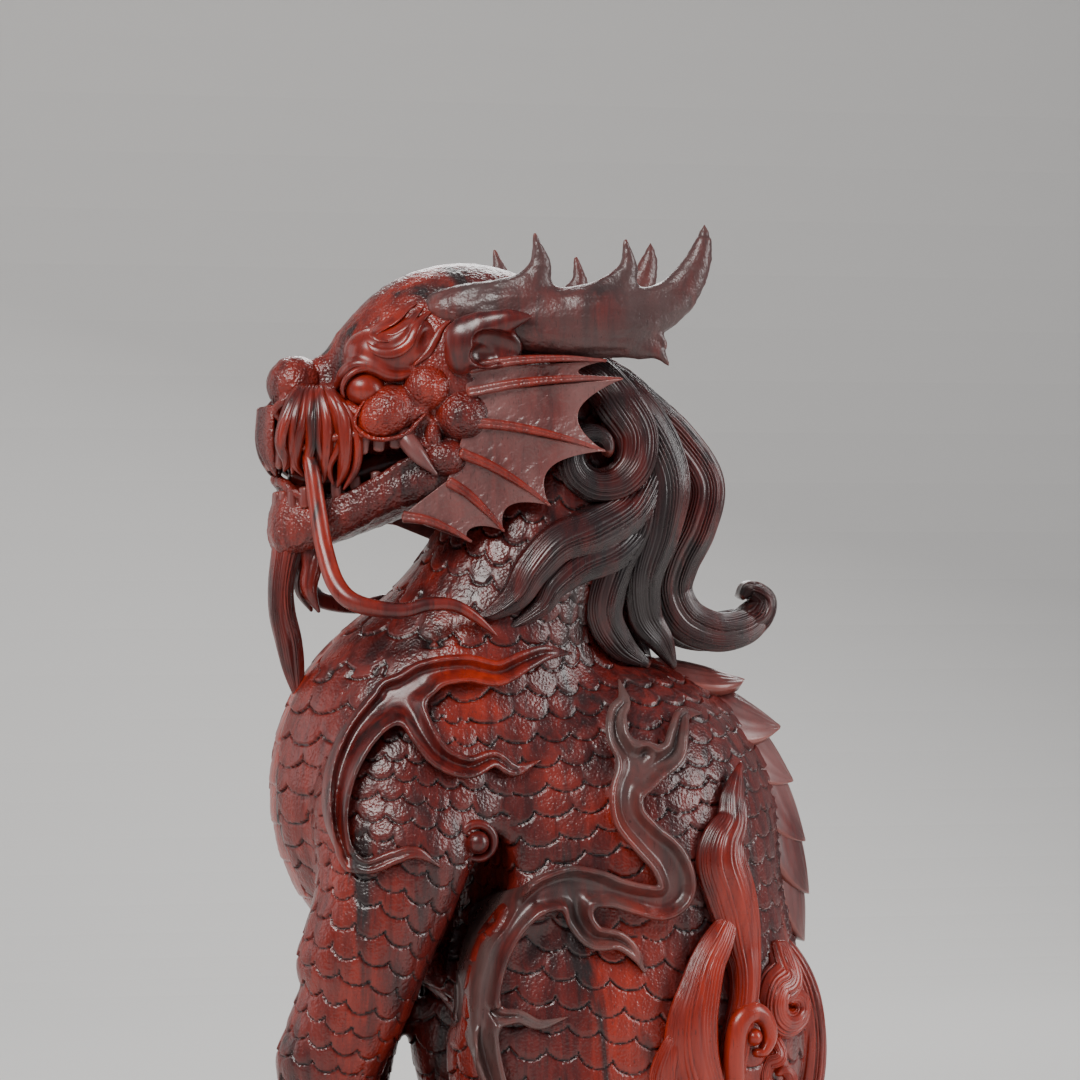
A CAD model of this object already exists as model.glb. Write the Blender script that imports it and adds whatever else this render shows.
import math

import bpy
import numpy as np
import openvdb as vdb
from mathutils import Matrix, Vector
from mathutils.bvhtree import BVHTree


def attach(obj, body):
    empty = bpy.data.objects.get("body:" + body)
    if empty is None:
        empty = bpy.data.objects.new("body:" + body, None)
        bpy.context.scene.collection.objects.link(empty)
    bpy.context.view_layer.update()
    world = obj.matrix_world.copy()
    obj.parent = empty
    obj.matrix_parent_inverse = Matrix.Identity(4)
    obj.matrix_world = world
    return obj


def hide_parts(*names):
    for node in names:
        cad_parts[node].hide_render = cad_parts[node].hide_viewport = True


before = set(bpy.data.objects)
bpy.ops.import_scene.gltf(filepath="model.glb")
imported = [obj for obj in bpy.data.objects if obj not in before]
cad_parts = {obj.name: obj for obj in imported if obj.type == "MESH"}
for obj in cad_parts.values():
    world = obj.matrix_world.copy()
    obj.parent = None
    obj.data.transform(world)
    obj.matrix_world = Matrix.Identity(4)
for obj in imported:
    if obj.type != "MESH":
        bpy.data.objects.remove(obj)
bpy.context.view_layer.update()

# A seated, antlered guardian beast carved in rosewood. Every place below is in millimetres in
# the frame of the CAD model: +Z up, the beast looks along -X, its left side is -Y, and the
# origin is the centre of the plinth's underside. Meshes are turned into metres when they are
# made. Paired pieces are modelled on the left side and mirrored.

MM = 0.001
BODY = "root"
SOLE = 21.0                 # top of the plinth


# ================================================================ numbers and curves
def noise(points, size, seed=0):
    """Smooth noise from -1 to 1 that changes over `size` mm."""
    table = np.random.default_rng(1000 + seed).uniform(-1, 1, (32, 32, 32))
    cell = np.asarray(points, float) / size
    base = np.floor(cell).astype(int)
    part = cell - base
    part = part * part * (3 - 2 * part)
    total = np.zeros(len(cell))
    for corner in range(8):
        step = np.array([corner & 1, corner >> 1 & 1, corner >> 2 & 1])
        weight = np.prod(np.where(step, part, 1 - part), axis=1)
        index = (base + step) % 32
        total += weight * table[index[:, 0], index[:, 1], index[:, 2]]
    return total


def spline(rows, count, span_steps=24):
    """Rows of (x, y, z, sizes...) along a smooth curve through `rows`, evenly spaced."""
    rows = np.asarray(rows, float)
    padded = np.vstack([2 * rows[0] - rows[1], rows, 2 * rows[-1] - rows[-2]])
    t = np.linspace(0, 1, span_steps, endpoint=False)[:, None]
    dense = []
    for k in range(len(rows) - 1):
        p0, p1, p2, p3 = padded[k:k + 4]
        dense.append(0.5 * (2 * p1 + (p2 - p0) * t + (2 * p0 - 5 * p1 + 4 * p2 - p3) * t ** 2
                            + (3 * p1 - p0 - 3 * p2 + p3) * t ** 3))
    dense = np.vstack(dense + [rows[-1:]])
    run = np.concatenate([[0], np.cumsum(np.linalg.norm(np.diff(dense[:, :3], axis=0), axis=1))])
    even = np.linspace(0, run[-1], count)
    return np.stack([np.interp(even, run, column) for column in dense.T], 1)


def unit(vectors):
    """The same directions at length 1."""
    return vectors / np.maximum(np.linalg.norm(vectors, axis=-1, keepdims=True), 1e-9)


def directions(places):
    """The direction of travel at each place along a path."""
    return unit(np.gradient(places, axis=0))


def turned(vectors, axis, degrees):
    """Vectors turned about the X, Y or Z axis."""
    a, b = [(1, 2), (2, 0), (0, 1)]["XYZ".index(axis)]
    c, s = math.cos(math.radians(degrees)), math.sin(math.radians(degrees))
    out = np.array(vectors, float)
    out[..., a], out[..., b] = c * vectors[..., a] - s * vectors[..., b], s * vectors[...,
            a] + c * vectors[..., b]
    return out


# ================================================================ clay: sculpting with distances
class Clay:
    """A block of clay, kept as a grid of distances in mm to its surface, negative inside."""

    def __init__(self, low, high, voxel, band=4.0):
        self.low = np.array(low, float)
        self.voxel = voxel
        self.band = band
        self.count = np.ceil((np.array(high) - self.low) / voxel).astype(int) + 1
        self.field = np.full(self.count, band, np.float32)

    def window(self, low, high):
        """The grid cells between two corners: their slices, and their x, y and z."""
        first = np.clip(np.floor((np.asarray(low) - self.low) / self.voxel).astype(int), 0, self.count)
        last = np.clip(np.ceil((np.asarray(high) - self.low) / self.voxel).astype(int) + 1, 0, self.count)
        slices = tuple(slice(a, b) for a, b in zip(first, last))
        x, y, z = [(self.low[k] + self.voxel * np.arange(first[k],
                last[k])).astype(np.float32) for k in range(3)]
        return slices, x[:, None, None], y[None, :, None], z[None, None, :]

    def merge(self, slices, distance, blend, carve):
        """Joins a shape to the clay, or cuts it away, with a soft seam of width `blend`."""
        old = self.field[slices]
        new = -distance if carve else distance
        if carve:
            result = np.maximum(old, new)
        else:
            result = np.minimum(old, new)
        if blend:
            overlap = np.maximum(blend - np.abs(old - new), 0) / blend
            push = overlap * overlap * (blend / 4)
            result = result + push if carve else result - push
        self.field[slices] = result

    def ball(self, centre, sizes, blend=0.0, carve=False, turn=()):
        """Adds or carves an ellipsoid. `turn` lists (axis, degrees) turns about its centre."""
        reach = max(sizes) + self.band + blend
        slices, x, y, z = self.window(np.array(centre) - reach, np.array(centre) + reach)
        axes = np.eye(3)
        for axis, degrees in turn:
            axes = turned(axes, axis, degrees)
        shift = (x - centre[0], y - centre[1], z - centre[2])
        near = 0
        far = 0
        for direction, size in zip(axes, sizes):
            part = direction[0] * shift[0] + direction[1] * shift[1] + direction[2] * shift[2]
            near = near + (part / size) ** 2
            far = far + (part / size ** 2) ** 2
        near = np.sqrt(near)
        self.merge(slices, near * (near - 1) / np.maximum(np.sqrt(far), 1e-6), blend, carve)

    def tube(self, rows, blend=0.0, carve=False, facing=(0, -1, 0), segments=26):
        """Adds or carves a limb. A row is (x, y, z, half-width) or (x, y, z, half-width, half-thickness).

        The thickness is measured towards `facing`.
        """
        rows = [tuple(row) + (row[3],) if len(row) == 4 else tuple(row) for row in rows]
        path = spline(rows, segments + 1)
        reach = path[:, 3:].max() + self.band + blend
        slices, x, y, z = self.window(path[:, :3].min(0) - reach, path[:, :3].max(0) + reach)
        origin = [part.start for part in slices]
        distance = np.full([part.stop - part.start for part in slices], self.band + blend, np.float32)
        for start, end in zip(path[:-1], path[1:]):
            run = end[:3] - start[:3]
            along = run / np.linalg.norm(run)
            across = unit(np.cross(along, facing))
            towards = np.cross(across, along)
            size = max(start[3:].max(), end[3:].max()) + self.band + blend
            cut, px, py, pz = self.window(np.minimum(start, end)[:3] - size,
                                          np.maximum(start, end)[:3] + size)
            cut = tuple(slice(part.start - o, part.stop - o) for part, o in zip(cut, origin))
            shift = (px - start[0], py - start[1], pz - start[2])

            def part_along(direction):
                return direction[0] * shift[0] + direction[1] * shift[1] + direction[2] * shift[2]

            share = np.clip(part_along(run) / (run @ run), 0, 1)
            width = start[3] + share * (end[3] - start[3])
            thick = start[4] + share * (end[4] - start[4])
            small = np.minimum(width, thick)
            u, v = part_along(across), part_along(towards)
            w = part_along(along) - share * np.linalg.norm(run)
            near = np.sqrt((u / width) ** 2 + (v / thick) ** 2 + (w / small) ** 2)
            far = np.sqrt((u / width ** 2) ** 2 + (v / thick ** 2) ** 2 + (w / small ** 2) ** 2)
            value = near * (near - 1) / np.maximum(far, 1e-6)
            distance[cut] = np.minimum(distance[cut], value)
        self.merge(slices, distance, blend, carve)

    def both(self, tool, *args, **words):
        """Uses a tool on the left side and again, mirrored, on the right."""
        tool(*args, **words)
        first = args[0]
        if tool == self.ball:
            words["turn"] = [(axis, degrees if axis == "Y" else -degrees) for axis,
                             degrees in words.get("turn", ())]
            mirrored = (first[0], -first[1], first[2])
        else:
            mirrored = [(row[0], -row[1]) + tuple(row[2:]) for row in first]
            facing = words.get("facing", (0, -1, 0))
            words["facing"] = (facing[0], -facing[1], facing[2])
        tool(mirrored, *args[1:], **words)

    def floor(self, height):
        """Cuts off everything under a level plane."""
        z = self.low[2] + self.voxel * np.arange(self.count[2], dtype=np.float32)
        self.field = np.maximum(self.field, (height - z)[None, None, :])

    def skin(self):
        """The clay's surface: vertices in mm, and faces of four."""
        grid = vdb.FloatGrid(self.band)
        grid.copyFromArray(np.ascontiguousarray(np.minimum(self.field, self.band)))
        vertices, faces = grid.convertToQuads(0.0)
        vertices = vertices.astype(float) * self.voxel + self.low
        faces = faces.astype(int)
        return vertices, facing_out(vertices, faces)


# ================================================================ meshes as arrays
def facing_out(vertices, faces):
    """The same faces, turned so that their normals point out of the solid."""
    a, b, c = (vertices[faces[:, k]] for k in range(3))
    volume = np.einsum("ij,ij->i", a, np.cross(b, c)).sum()
    if faces.shape[1] == 4:
        d = vertices[faces[:, 3]]
        volume += np.einsum("ij,ij->i", a, np.cross(c, d)).sum()
    return faces if volume > 0 else faces[:, ::-1]


def normals_of(vertices, faces):
    """The outward direction at each vertex."""
    spread = np.cross(vertices[faces[:, 2]] - vertices[faces[:, 0]],
                      vertices[faces[:, -1]] - vertices[faces[:, 1]])
    total = np.zeros_like(vertices)
    for k in range(faces.shape[1]):
        for axis in range(3):
            total[:, axis] += np.bincount(faces[:, k], spread[:, axis], len(vertices))
    return unit(total)


def edge_mean(values, faces):
    """Each vertex's mean over its neighbours around its faces."""
    total = np.zeros_like(values)
    count = np.zeros(len(values))
    sides = faces.shape[1]
    for k in range(sides):
        one, two = faces[:, k], faces[:, (k + 1) % sides]
        count += np.bincount(one, minlength=len(values)) + np.bincount(two, minlength=len(values))
        for axis in range(values.shape[1]):
            total[:, axis] += np.bincount(one, values[two, axis], len(values))
            total[:, axis] += np.bincount(two, values[one, axis], len(values))
    return total / np.maximum(count, 1)[:, None]


def relaxed(vertices, faces, rounds=2, strength=0.5):
    """The vertices, each moved towards its neighbours' mean."""
    for _ in range(rounds):
        vertices = vertices + strength * (edge_mean(vertices, faces) - vertices)
    return vertices


def hollowness(vertices, faces, spread=3, scale=0.12):
    """0 on ridges and flats to 1 in grooves, where dust and dark wax gather."""
    normals = normals_of(vertices, faces)
    depth = np.einsum("ij,ij->i", edge_mean(vertices, faces) - vertices, normals)[:, None]
    for _ in range(spread):
        depth = 0.5 * depth + 0.5 * edge_mean(depth, faces)
    return depth[:, 0] / scale


def grid_faces(rows, columns, closed=True):
    """Faces of a rows x columns grid of vertices, closed round the columns."""
    last = columns if closed else columns - 1
    i, j = np.meshgrid(np.arange(rows - 1), np.arange(last), indexing="ij")
    k = (j + 1) % columns
    return np.stack([i * columns + j, i * columns + k, (i + 1) * columns + k, (i + 1) * columns + j],
                    -1).reshape(-1, 4)


def with_caps(vertices, rows, columns):
    """Closes the two ends of a swept grid with a small fan of faces each."""
    faces = [grid_faces(rows, columns)]
    centre_start, centre_end = len(vertices), len(vertices) + 1
    start = vertices[:columns].mean(0)
    end = vertices[-columns:].mean(0)
    j = np.arange(0, columns, 2)
    first = np.stack([np.full(len(j), centre_start), (j + 2) % columns, (j + 1) % columns, j], 1)
    base = (rows - 1) * columns
    last = np.stack([np.full(len(j), centre_end), base + j, base + (j + 1) % columns,
                     base + (j + 2) % columns], 1)
    return np.vstack([vertices, start, end]), np.vstack(faces + [first, last])


def sweep(rows, facing=(0, -1, 0), along=90, around=64, shape=None, ends=(0.25, 0.05)):
    """A closed form swept along a smooth curve of (x, y, z, half-width, half-thickness) rows.

    `shape` changes the section: it takes (share along, angle) and gives (width factor,
    thickness factor), where the angle is 0 on the across side and pi/2 on the facing side.
    `ends` are the shares of the size left at the start and at the end.
    """
    path = spline(rows, along)
    places = path[:, :3]
    tangent = directions(places)
    facing = np.broadcast_to(np.asarray(facing, float), places.shape)
    across = unit(np.cross(tangent, facing))
    towards = np.cross(across, tangent)
    share = np.linspace(0, 1, along)[:, None]
    angle = np.linspace(0, 2 * np.pi, around, endpoint=False)[None, :]
    wide, thick = (1.0, 1.0) if shape is None else shape(share, angle)
    cap = np.sqrt(np.clip(1 - ((0.03 - share) / 0.03).clip(0) ** 2 * (1 - ends[0] ** 2), 0, 1))
    cap = cap * np.sqrt(np.clip(1 - ((share - 0.985) / 0.015).clip(0) ** 2 * (1 - ends[1] ** 2), 0, 1))
    u = (path[:, 3:4] * np.cos(angle) * wide * cap)[..., None]
    v = (path[:, 4:5] * np.sin(angle) * thick * cap)[..., None]
    grid = places[:, None, :] + u * across[:, None, :] + v * towards[:, None, :]
    vertices, faces = with_caps(grid.reshape(-1, 3), along, around)
    return vertices, facing_out(vertices, faces)


def joined(parts):
    """Several solids as one mesh of separate shells."""
    vertices, faces, total = [], [], 0
    for part_vertices, part_faces in parts:
        vertices.append(part_vertices)
        faces.append(part_faces + total)
        total += len(part_vertices)
    return np.vstack(vertices), np.vstack(faces)


def add_piece(name, part, material, nodes, attributes=None):
    """A Blender object from arrays in mm, which stands for the named CAD nodes."""
    vertices, faces = part
    mesh = bpy.data.meshes.new(name)
    sides = faces.shape[1]
    mesh.vertices.add(len(vertices))
    mesh.vertices.foreach_set("co", (vertices * MM).astype(np.float32).ravel())
    mesh.loops.add(faces.size)
    mesh.loops.foreach_set("vertex_index", faces.astype(np.int32).ravel())
    mesh.polygons.add(len(faces))
    mesh.polygons.foreach_set("loop_start", np.arange(0, faces.size, sides, dtype=np.int32))
    mesh.polygons.foreach_set("use_smooth", np.ones(len(faces), bool))
    values = {"groove": np.clip(hollowness(vertices, faces), -1, 1),
              "stipple": np.zeros(len(vertices)), "warm": np.zeros(len(vertices))}
    values.update(attributes or {})
    for key, value in values.items():
        layer = mesh.attributes.new(key, "FLOAT", "POINT")
        layer.data.foreach_set("value", np.asarray(value, np.float32))
    mesh.update(calc_edges=True)
    mesh.validate()
    mesh.materials.append(material)
    piece = bpy.data.objects.new(name, mesh)
    bpy.context.scene.collection.objects.link(piece)
    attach(piece, BODY)
    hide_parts(*nodes)
    return piece


def mirrored(part):
    """The part on the other side of the beast."""
    vertices, faces = part
    return vertices * (1, -1, 1), faces[:, ::-1]


def add_pair(name, part, material, attributes=None):
    """A left piece and its mirror image."""
    add_piece(name + "_carving_left", part, material, [name + "_left"], attributes)
    add_piece(name + "_carving_right", mirrored(part), material, [name + "_right"], attributes)


def subdivided(part, levels=1):
    """Catmull-Clark subdivision of an array mesh."""
    mesh = bpy.data.meshes.new("work")
    mesh.from_pydata(part[0].tolist(), [], part[1].tolist())
    work = bpy.data.objects.new("work", mesh)
    bpy.context.scene.collection.objects.link(work)
    modifier = work.modifiers.new("smooth", "SUBSURF")
    modifier.levels = modifier.render_levels = levels
    result = work.evaluated_get(bpy.context.evaluated_depsgraph_get()).to_mesh()
    vertices = np.empty(len(result.vertices) * 3, np.float32)
    result.vertices.foreach_get("co", vertices)
    faces = np.empty(len(result.loops), np.int32)
    result.loops.foreach_get("vertex_index", faces)
    bpy.data.objects.remove(work)
    bpy.data.meshes.remove(mesh)
    return vertices.reshape(-1, 3).astype(float), faces.reshape(-1, 4).astype(int)


# ================================================================ material
def rosewood(name, dark=0.5, warmth=0.5, gloss=0.3, bloom=0.0, bloom_colour=(0.10, 0.05, 0.048, 1)):
    """Waxed rosewood: red-brown heartwood with black figure, pores and worn, dusty relief.

    `dark` from 0 to 1 sets how much black figure there is, `warmth` how much orange-red, and
    `bloom` how far the surface has gone over, in patches, to the dull `bloom_colour`.
    """
    material = bpy.data.materials.new(name)
    material.use_nodes = True
    nodes, links = material.node_tree.nodes, material.node_tree.links
    shader = nodes["Principled BSDF"]

    def node(kind, **settings):
        made = nodes.new(kind)
        for key, value in settings.items():
            if key in made.inputs:
                made.inputs[key].default_value = value
            else:
                setattr(made, key, value)
        return made

    def link(source, socket, target, into):
        links.new(source.outputs[socket], target.inputs[into])

    def stretched_noise(scale, detail, rough, distortion=0.0):
        mapping = node("ShaderNodeMapping", Scale=scale)
        link(place, "Object", mapping, "Vector")
        texture = node("ShaderNodeTexNoise", Scale=1.0, Detail=detail, Roughness=rough,
                       Distortion=distortion)
        link(mapping, "Vector", texture, "Vector")
        return texture

    def ramp(source, socket, stops):
        made = node("ShaderNodeValToRGB")
        points = made.color_ramp.elements
        while len(points) < len(stops):
            points.new(0.5)
        for point, (position, colour) in zip(points, stops):
            point.position = position
            point.color = colour if isinstance(colour, tuple) else (colour, colour, colour, 1)
        link(source, socket, made, "Fac")
        return made

    def blended(factor, factor_socket, first, second, mode="MIX"):
        made = nodes.new("ShaderNodeMix")
        made.data_type = "RGBA"
        made.blend_type = mode
        if factor is None:
            made.inputs[0].default_value = factor_socket
        else:
            links.new(factor.outputs[factor_socket], made.inputs[0])
        for slot_index, colour in ((6, first), (7, second)):
            if isinstance(colour, tuple):
                made.inputs[slot_index].default_value = colour
            else:
                links.new(colour[0].outputs[colour[1]] if isinstance(colour, list) else colour.outputs[0],
                          made.inputs[slot_index])
        return [made, 2]

    place = node("ShaderNodeTexCoord")
    grain = stretched_noise((260, 260, 26), 6, 0.62, 0.6)
    wood = ramp(grain, "Fac", [
        (0.28, (0.022, 0.0034, 0.0034, 1)), (0.44, (0.064, 0.0062, 0.0056, 1)),
        (0.56, (0.118, 0.0102, 0.0078, 1)), (0.75, (0.190, 0.0170, 0.0110, 1)),
    ])
    patches = stretched_noise((26, 26, 11), 3, 0.5, 0.4)
    warm_mask = ramp(patches, "Fac", [(0.62 - 0.2 * warmth, 0.0), (0.80 - 0.2 * warmth, 1.0)])
    glow = node("ShaderNodeAttribute", attribute_name="warm", attribute_type="GEOMETRY")
    warmer = node("ShaderNodeMath", operation="MAXIMUM")
    link(warm_mask, "Color", warmer, 0)
    link(glow, "Fac", warmer, 1)
    orange = ramp(grain, "Fac", [(0.3, (0.19, 0.011, 0.005, 1)), (0.6, (0.38, 0.025, 0.008, 1))])
    coloured = blended(warmer, "Value", wood, orange)
    figure = stretched_noise((62, 62, 9), 5, 0.55, 1.1)
    figure_mask = ramp(figure, "Fac", [(0.66 - 0.22 * dark, 0.0), (0.76 - 0.22 * dark, 1.0)])
    coloured = blended(figure_mask, "Color", coloured, (0.022, 0.010, 0.010, 1))
    if bloom:
        cloud = stretched_noise((34, 34, 20), 4, 0.6, 0.5)
        cloud_mask = ramp(cloud, "Fac", [(0.34, 0.15 * bloom), (0.60, bloom)])
        worn_off = node("ShaderNodeMath", operation="SUBTRACT", use_clamp=True)
        link(cloud_mask, "Color", worn_off, 0)
        link(glow, "Fac", worn_off, 1)
        coloured = blended(worn_off, "Value", coloured, bloom_colour)
    pores = stretched_noise((2600, 2600, 300), 2, 0.5)
    pore_mask = ramp(pores, "Fac", [(0.29, 0.55), (0.36, 0.0)])
    coloured = blended(pore_mask, "Color", coloured, (0.028, 0.008, 0.007, 1))

    relief = node("ShaderNodeAttribute", attribute_name="groove", attribute_type="GEOMETRY")
    hollow = ramp(relief, "Fac", [(0.08, 0.0), (0.75, 0.9)])
    coloured = blended(hollow, "Color", coloured, (0.010, 0.0022, 0.0022, 1))
    raised = node("ShaderNodeMath", operation="MULTIPLY")
    link(relief, "Fac", raised, 0)
    raised.inputs[1].default_value = -1.0
    crest = ramp(raised, "Value", [(0.2, 0.0), (1.0, 0.3)])
    coloured = blended(crest, "Color", coloured, (0.46, 0.074, 0.038, 1))
    links.new(coloured[0].outputs[2], shader.inputs["Base Color"])

    rub = stretched_noise((150, 150, 90), 4, 0.6)
    rough = node("ShaderNodeMapRange")
    rough.inputs["From Min"].default_value = 0.3
    rough.inputs["From Max"].default_value = 0.7
    rough.inputs["To Min"].default_value = gloss - 0.06
    rough.inputs["To Max"].default_value = gloss + 0.12
    link(rub, "Fac", rough, "Value")
    link(rough, "Result", shader, "Roughness")
    shader.inputs["Coat Weight"].default_value = 0.28
    shader.inputs["Coat Roughness"].default_value = 0.22
    shader.inputs["Specular IOR Level"].default_value = 0.55

    stipple = node("ShaderNodeAttribute", attribute_name="stipple", attribute_type="GEOMETRY")
    punch = node("ShaderNodeTexVoronoi", Scale=1350.0, Randomness=1.0)
    punch.feature = "SMOOTH_F1"
    warp = stretched_noise((900, 900, 900), 2, 0.6)
    link(place, "Object", punch, "Vector")
    punched = node("ShaderNodeMath", operation="MULTIPLY")
    link(punch, "Distance", punched, 0)
    link(stipple, "Fac", punched, 1)
    rolled = node("ShaderNodeMath", operation="MULTIPLY")
    link(warp, "Fac", rolled, 0)
    link(stipple, "Fac", rolled, 1)
    both = node("ShaderNodeMath", operation="ADD")
    link(punched, "Value", both, 0)
    link(rolled, "Value", both, 1)
    hammer = node("ShaderNodeBump", Strength=0.8, Distance=0.00031)
    link(both, "Value", hammer, "Height")
    pits = node("ShaderNodeBump", Strength=0.25, Distance=0.00012, invert=True)
    link(pore_mask, "Color", pits, "Height")
    link(hammer, "Normal", pits, "Normal")
    link(pits, "Normal", shader, "Normal")
    link(pits, "Normal", shader, "Coat Normal")
    return material


WOOD = rosewood("rosewood_figured", dark=0.35, warmth=0.45)
WOOD_WARM = rosewood("rosewood_orange", dark=0.3, warmth=0.45, gloss=0.28)
WOOD_FLAME = rosewood("rosewood_flame", dark=0.1, warmth=1.1, gloss=0.27)
WOOD_DARK = rosewood("rosewood_blackheart", dark=0.8, warmth=0.1, gloss=0.25, bloom=0.85,
                     bloom_colour=(0.013, 0.008, 0.009, 1))
WOOD_POLISHED = rosewood("rosewood_burnished", dark=0.4, warmth=0.45, gloss=0.29)
WOOD_HORN = rosewood("rosewood_horn", dark=0.55, warmth=0.3, gloss=0.42, bloom=0.85,
                     bloom_colour=(0.080, 0.042, 0.040, 1))
WOOD_PALE = rosewood("rosewood_sapwood", dark=0.3, warmth=0.3, gloss=0.34, bloom=0.85,
                     bloom_colour=(0.25, 0.105, 0.098, 1))
WOOD_SMOKED = rosewood("rosewood_smoked", dark=0.3, warmth=0.35, gloss=0.28, bloom=0.8,
                       bloom_colour=(0.125, 0.084, 0.078, 1))


# ================================================================ body, legs and paws
CHEST = ((-32, 0, 138), (44, 38, 50))
BARREL = ((13, 0, 119), (55, 46, 58))
RUMP = ((30, 0, 70), (46, 45, 50))
SHOULDER = ((-41, -29, 130), (27, 17, 32))
THIGH = ((4, -30, 70), (36, 20, 47))
NECK = [(-30, 0, 150, 34, 36), (-12, 0, 185, 28, 30), (2, 0, 215, 25, 26), (5, 0, 240, 21, 21)]
FORELEG = [(-44, -31, 122, 19), (-54, -31, 98, 17.5), (-56, -31, 87, 15.2), (-59.5, -29.5, 78, 14.8),
           (-63, -28, 68, 14),
           (-65, -27, 52, 12.5), (-65, -26, 38, 12.5), (-65, -26, 24, 14)]
FORELEG_KNOBS = [((-62.5, -31, 94), (10.3, 9.5, 9.5)), ((-68.5, -28.5, 68), (9.5, 10, 8))]
RIGHT_SET_BACK = 14.0       # the right foreleg stands this much further back than the left one
SET_BACK_TOP, SET_BACK_BOTTOM = 122.0, 96.0
HIND_SHANK = [(2, -33, 58, 18), (-7, -36, 50, 15), (-14, -38.5, 41, 12), (-16, -40, 32, 11)]
HAUNCH_EDGE = [(-13, -36, 48, 5), (-18, -37, 60, 6.5), (-22, -37.5, 75, 7), (-21, -37.5, 91, 7),
               (-16, -38.5, 103, 7), (-7, -40.5, 111, 6)]
SPINE_RIDGE = [(30, 0, 165, 6), (48, 0, 158.5, 7), (58, 0, 148, 7), (63.5, 0, 134, 7), (66, 0, 119, 7),
               (66, 0, 104, 7),
               (63, 0, 88, 7), (58, 0, 74, 6)]
FOLD = [(-17.5, -45, 152, 0.6), (-17.5, -44.5, 144, 2.2), (-18.5, -44, 136, 2.8), (-19.5, -43.5, 128, 3),
        (-21, -42, 118, 3.4), (-24, -39, 107, 4)]
FOREPAW = ((-62, -27), 24.0, 15.5, 15.0)       # heel place, reach, half-width, height
FOREPAW_RIGHT = ((-62 + RIGHT_SET_BACK, 27), 24.0, 15.5, 15.0)
HINDPAW = ((-13, -40), 19.0, 14.0, 12.5)
HINDPAW_RIGHT = ((-13, 40), 19.0, 14.0, 12.5)
TOE_ANGLES = (-42, -14, 14, 42)


def set_back(height):
    """How far the right foreleg stands behind the left one at this height."""
    return RIGHT_SET_BACK * np.clip((SET_BACK_TOP - height) / (SET_BACK_TOP - SET_BACK_BOTTOM), 0, 1)


def toe_place(paw, degrees, forward, sideways):
    """A place along a toe, in shares of the paw's reach and half-width."""
    (x, y), reach, width, _ = paw
    turn = math.radians(degrees)
    return x - forward * reach * math.cos(turn), y + sideways * width * math.sin(turn)


def add_paw(clay, paw):
    """A pad and four toes, each with a high knuckle and a lower tip."""
    (x, y), reach, width, height = paw
    clay.ball((x - 0.25 * reach, y, SOLE + 0.45 * height), (0.62 * reach, width * 0.95, 0.8 * height), 4)
    for degrees in TOE_ANGLES:
        knuckle = toe_place(paw, degrees, 0.62, 0.78)
        tip = toe_place(paw, degrees, 0.86, 0.95)
        toe = [(*toe_place(paw, degrees, 0.3, 0.5), SOLE + 0.7 * height, 0.24 * width),
               (*knuckle, SOLE + 0.62 * height, 0.29 * width), (*tip, SOLE + 0.3 * height, 0.25 * width)]
        clay.tube(toe, 1.2, segments=8)


def shape_body():
    """Torso, neck, legs and paws as one continuous carved mass."""
    clay = Clay((-98, -64, 14), (92, 64, 252), 1.0, band=12)
    clay.ball(*BARREL, 0)
    clay.ball(*CHEST, 14)
    clay.ball(*RUMP, 16)
    clay.tube(NECK, 12, segments=20)
    clay.both(clay.ball, *THIGH, 5)
    clay.both(clay.ball, *SHOULDER, 5)
    for side in (1, -1):
        shift = [0 if side == 1 else set_back(z) for _, _, z, _ in FORELEG]
        clay.tube([(x + move, side * y, z, size) for (x, y, z, size), move in zip(FORELEG, shift)], 6)
        for (x, y, z), sizes in FORELEG_KNOBS:
            clay.ball((x if side == 1 else x + set_back(z), side * y, z), sizes, 3)
    clay.both(clay.tube, HIND_SHANK, 4)
    clay.both(clay.ball, (-25, -31, 103), (7, 22, 26), 6, carve=True, turn=[("Y", 12)])
    clay.both(clay.tube, HAUNCH_EDGE, 4, segments=20)
    clay.tube(SPINE_RIDGE, 9, segments=20)
    clay.both(clay.tube, FOLD, 2.0, carve=True, segments=16)
    for paw in (FOREPAW, FOREPAW_RIGHT, HINDPAW, HINDPAW_RIGHT):
        add_paw(clay, paw)
    clay.floor(SOLE - 0.4)
    vertices, faces = clay.skin()
    return subdivided((relaxed(vertices, faces, 2, 0.5), faces))


def ellipsoid_distance(points, ball):
    """Distance from each point to the surface of an ellipsoid, negative inside."""
    centre, sizes = (np.array(value, float) for value in ball)
    near = np.linalg.norm((points - centre) / sizes, axis=1)
    far = np.linalg.norm((points - centre) / sizes ** 2, axis=1)
    return near * (near - 1) / np.maximum(far, 1e-6)


def path_distance(points, rows):
    """Distance to a limb's surface, with the place along its line and the line's direction there."""
    path = spline(rows, 60)
    best = np.full(len(points), 1e9)
    run = np.zeros(len(points))
    foot = np.zeros((len(points), 3))
    start_run = 0.0
    for start, end in zip(path[:-1], path[1:]):
        leg = end[:3] - start[:3]
        share = np.clip((points - start[:3]) @ leg / (leg @ leg), 0, 1)
        spot = start[:3] + share[:, None] * leg
        gap = np.linalg.norm(points - spot, axis=1)
        nearer = gap < best
        best = np.where(nearer, gap, best)
        run = np.where(nearer, start_run + share * np.linalg.norm(leg), run)
        foot = np.where(nearer[:, None], spot, foot)
        start_run += np.linalg.norm(leg)
    return best, run, foot


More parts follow.
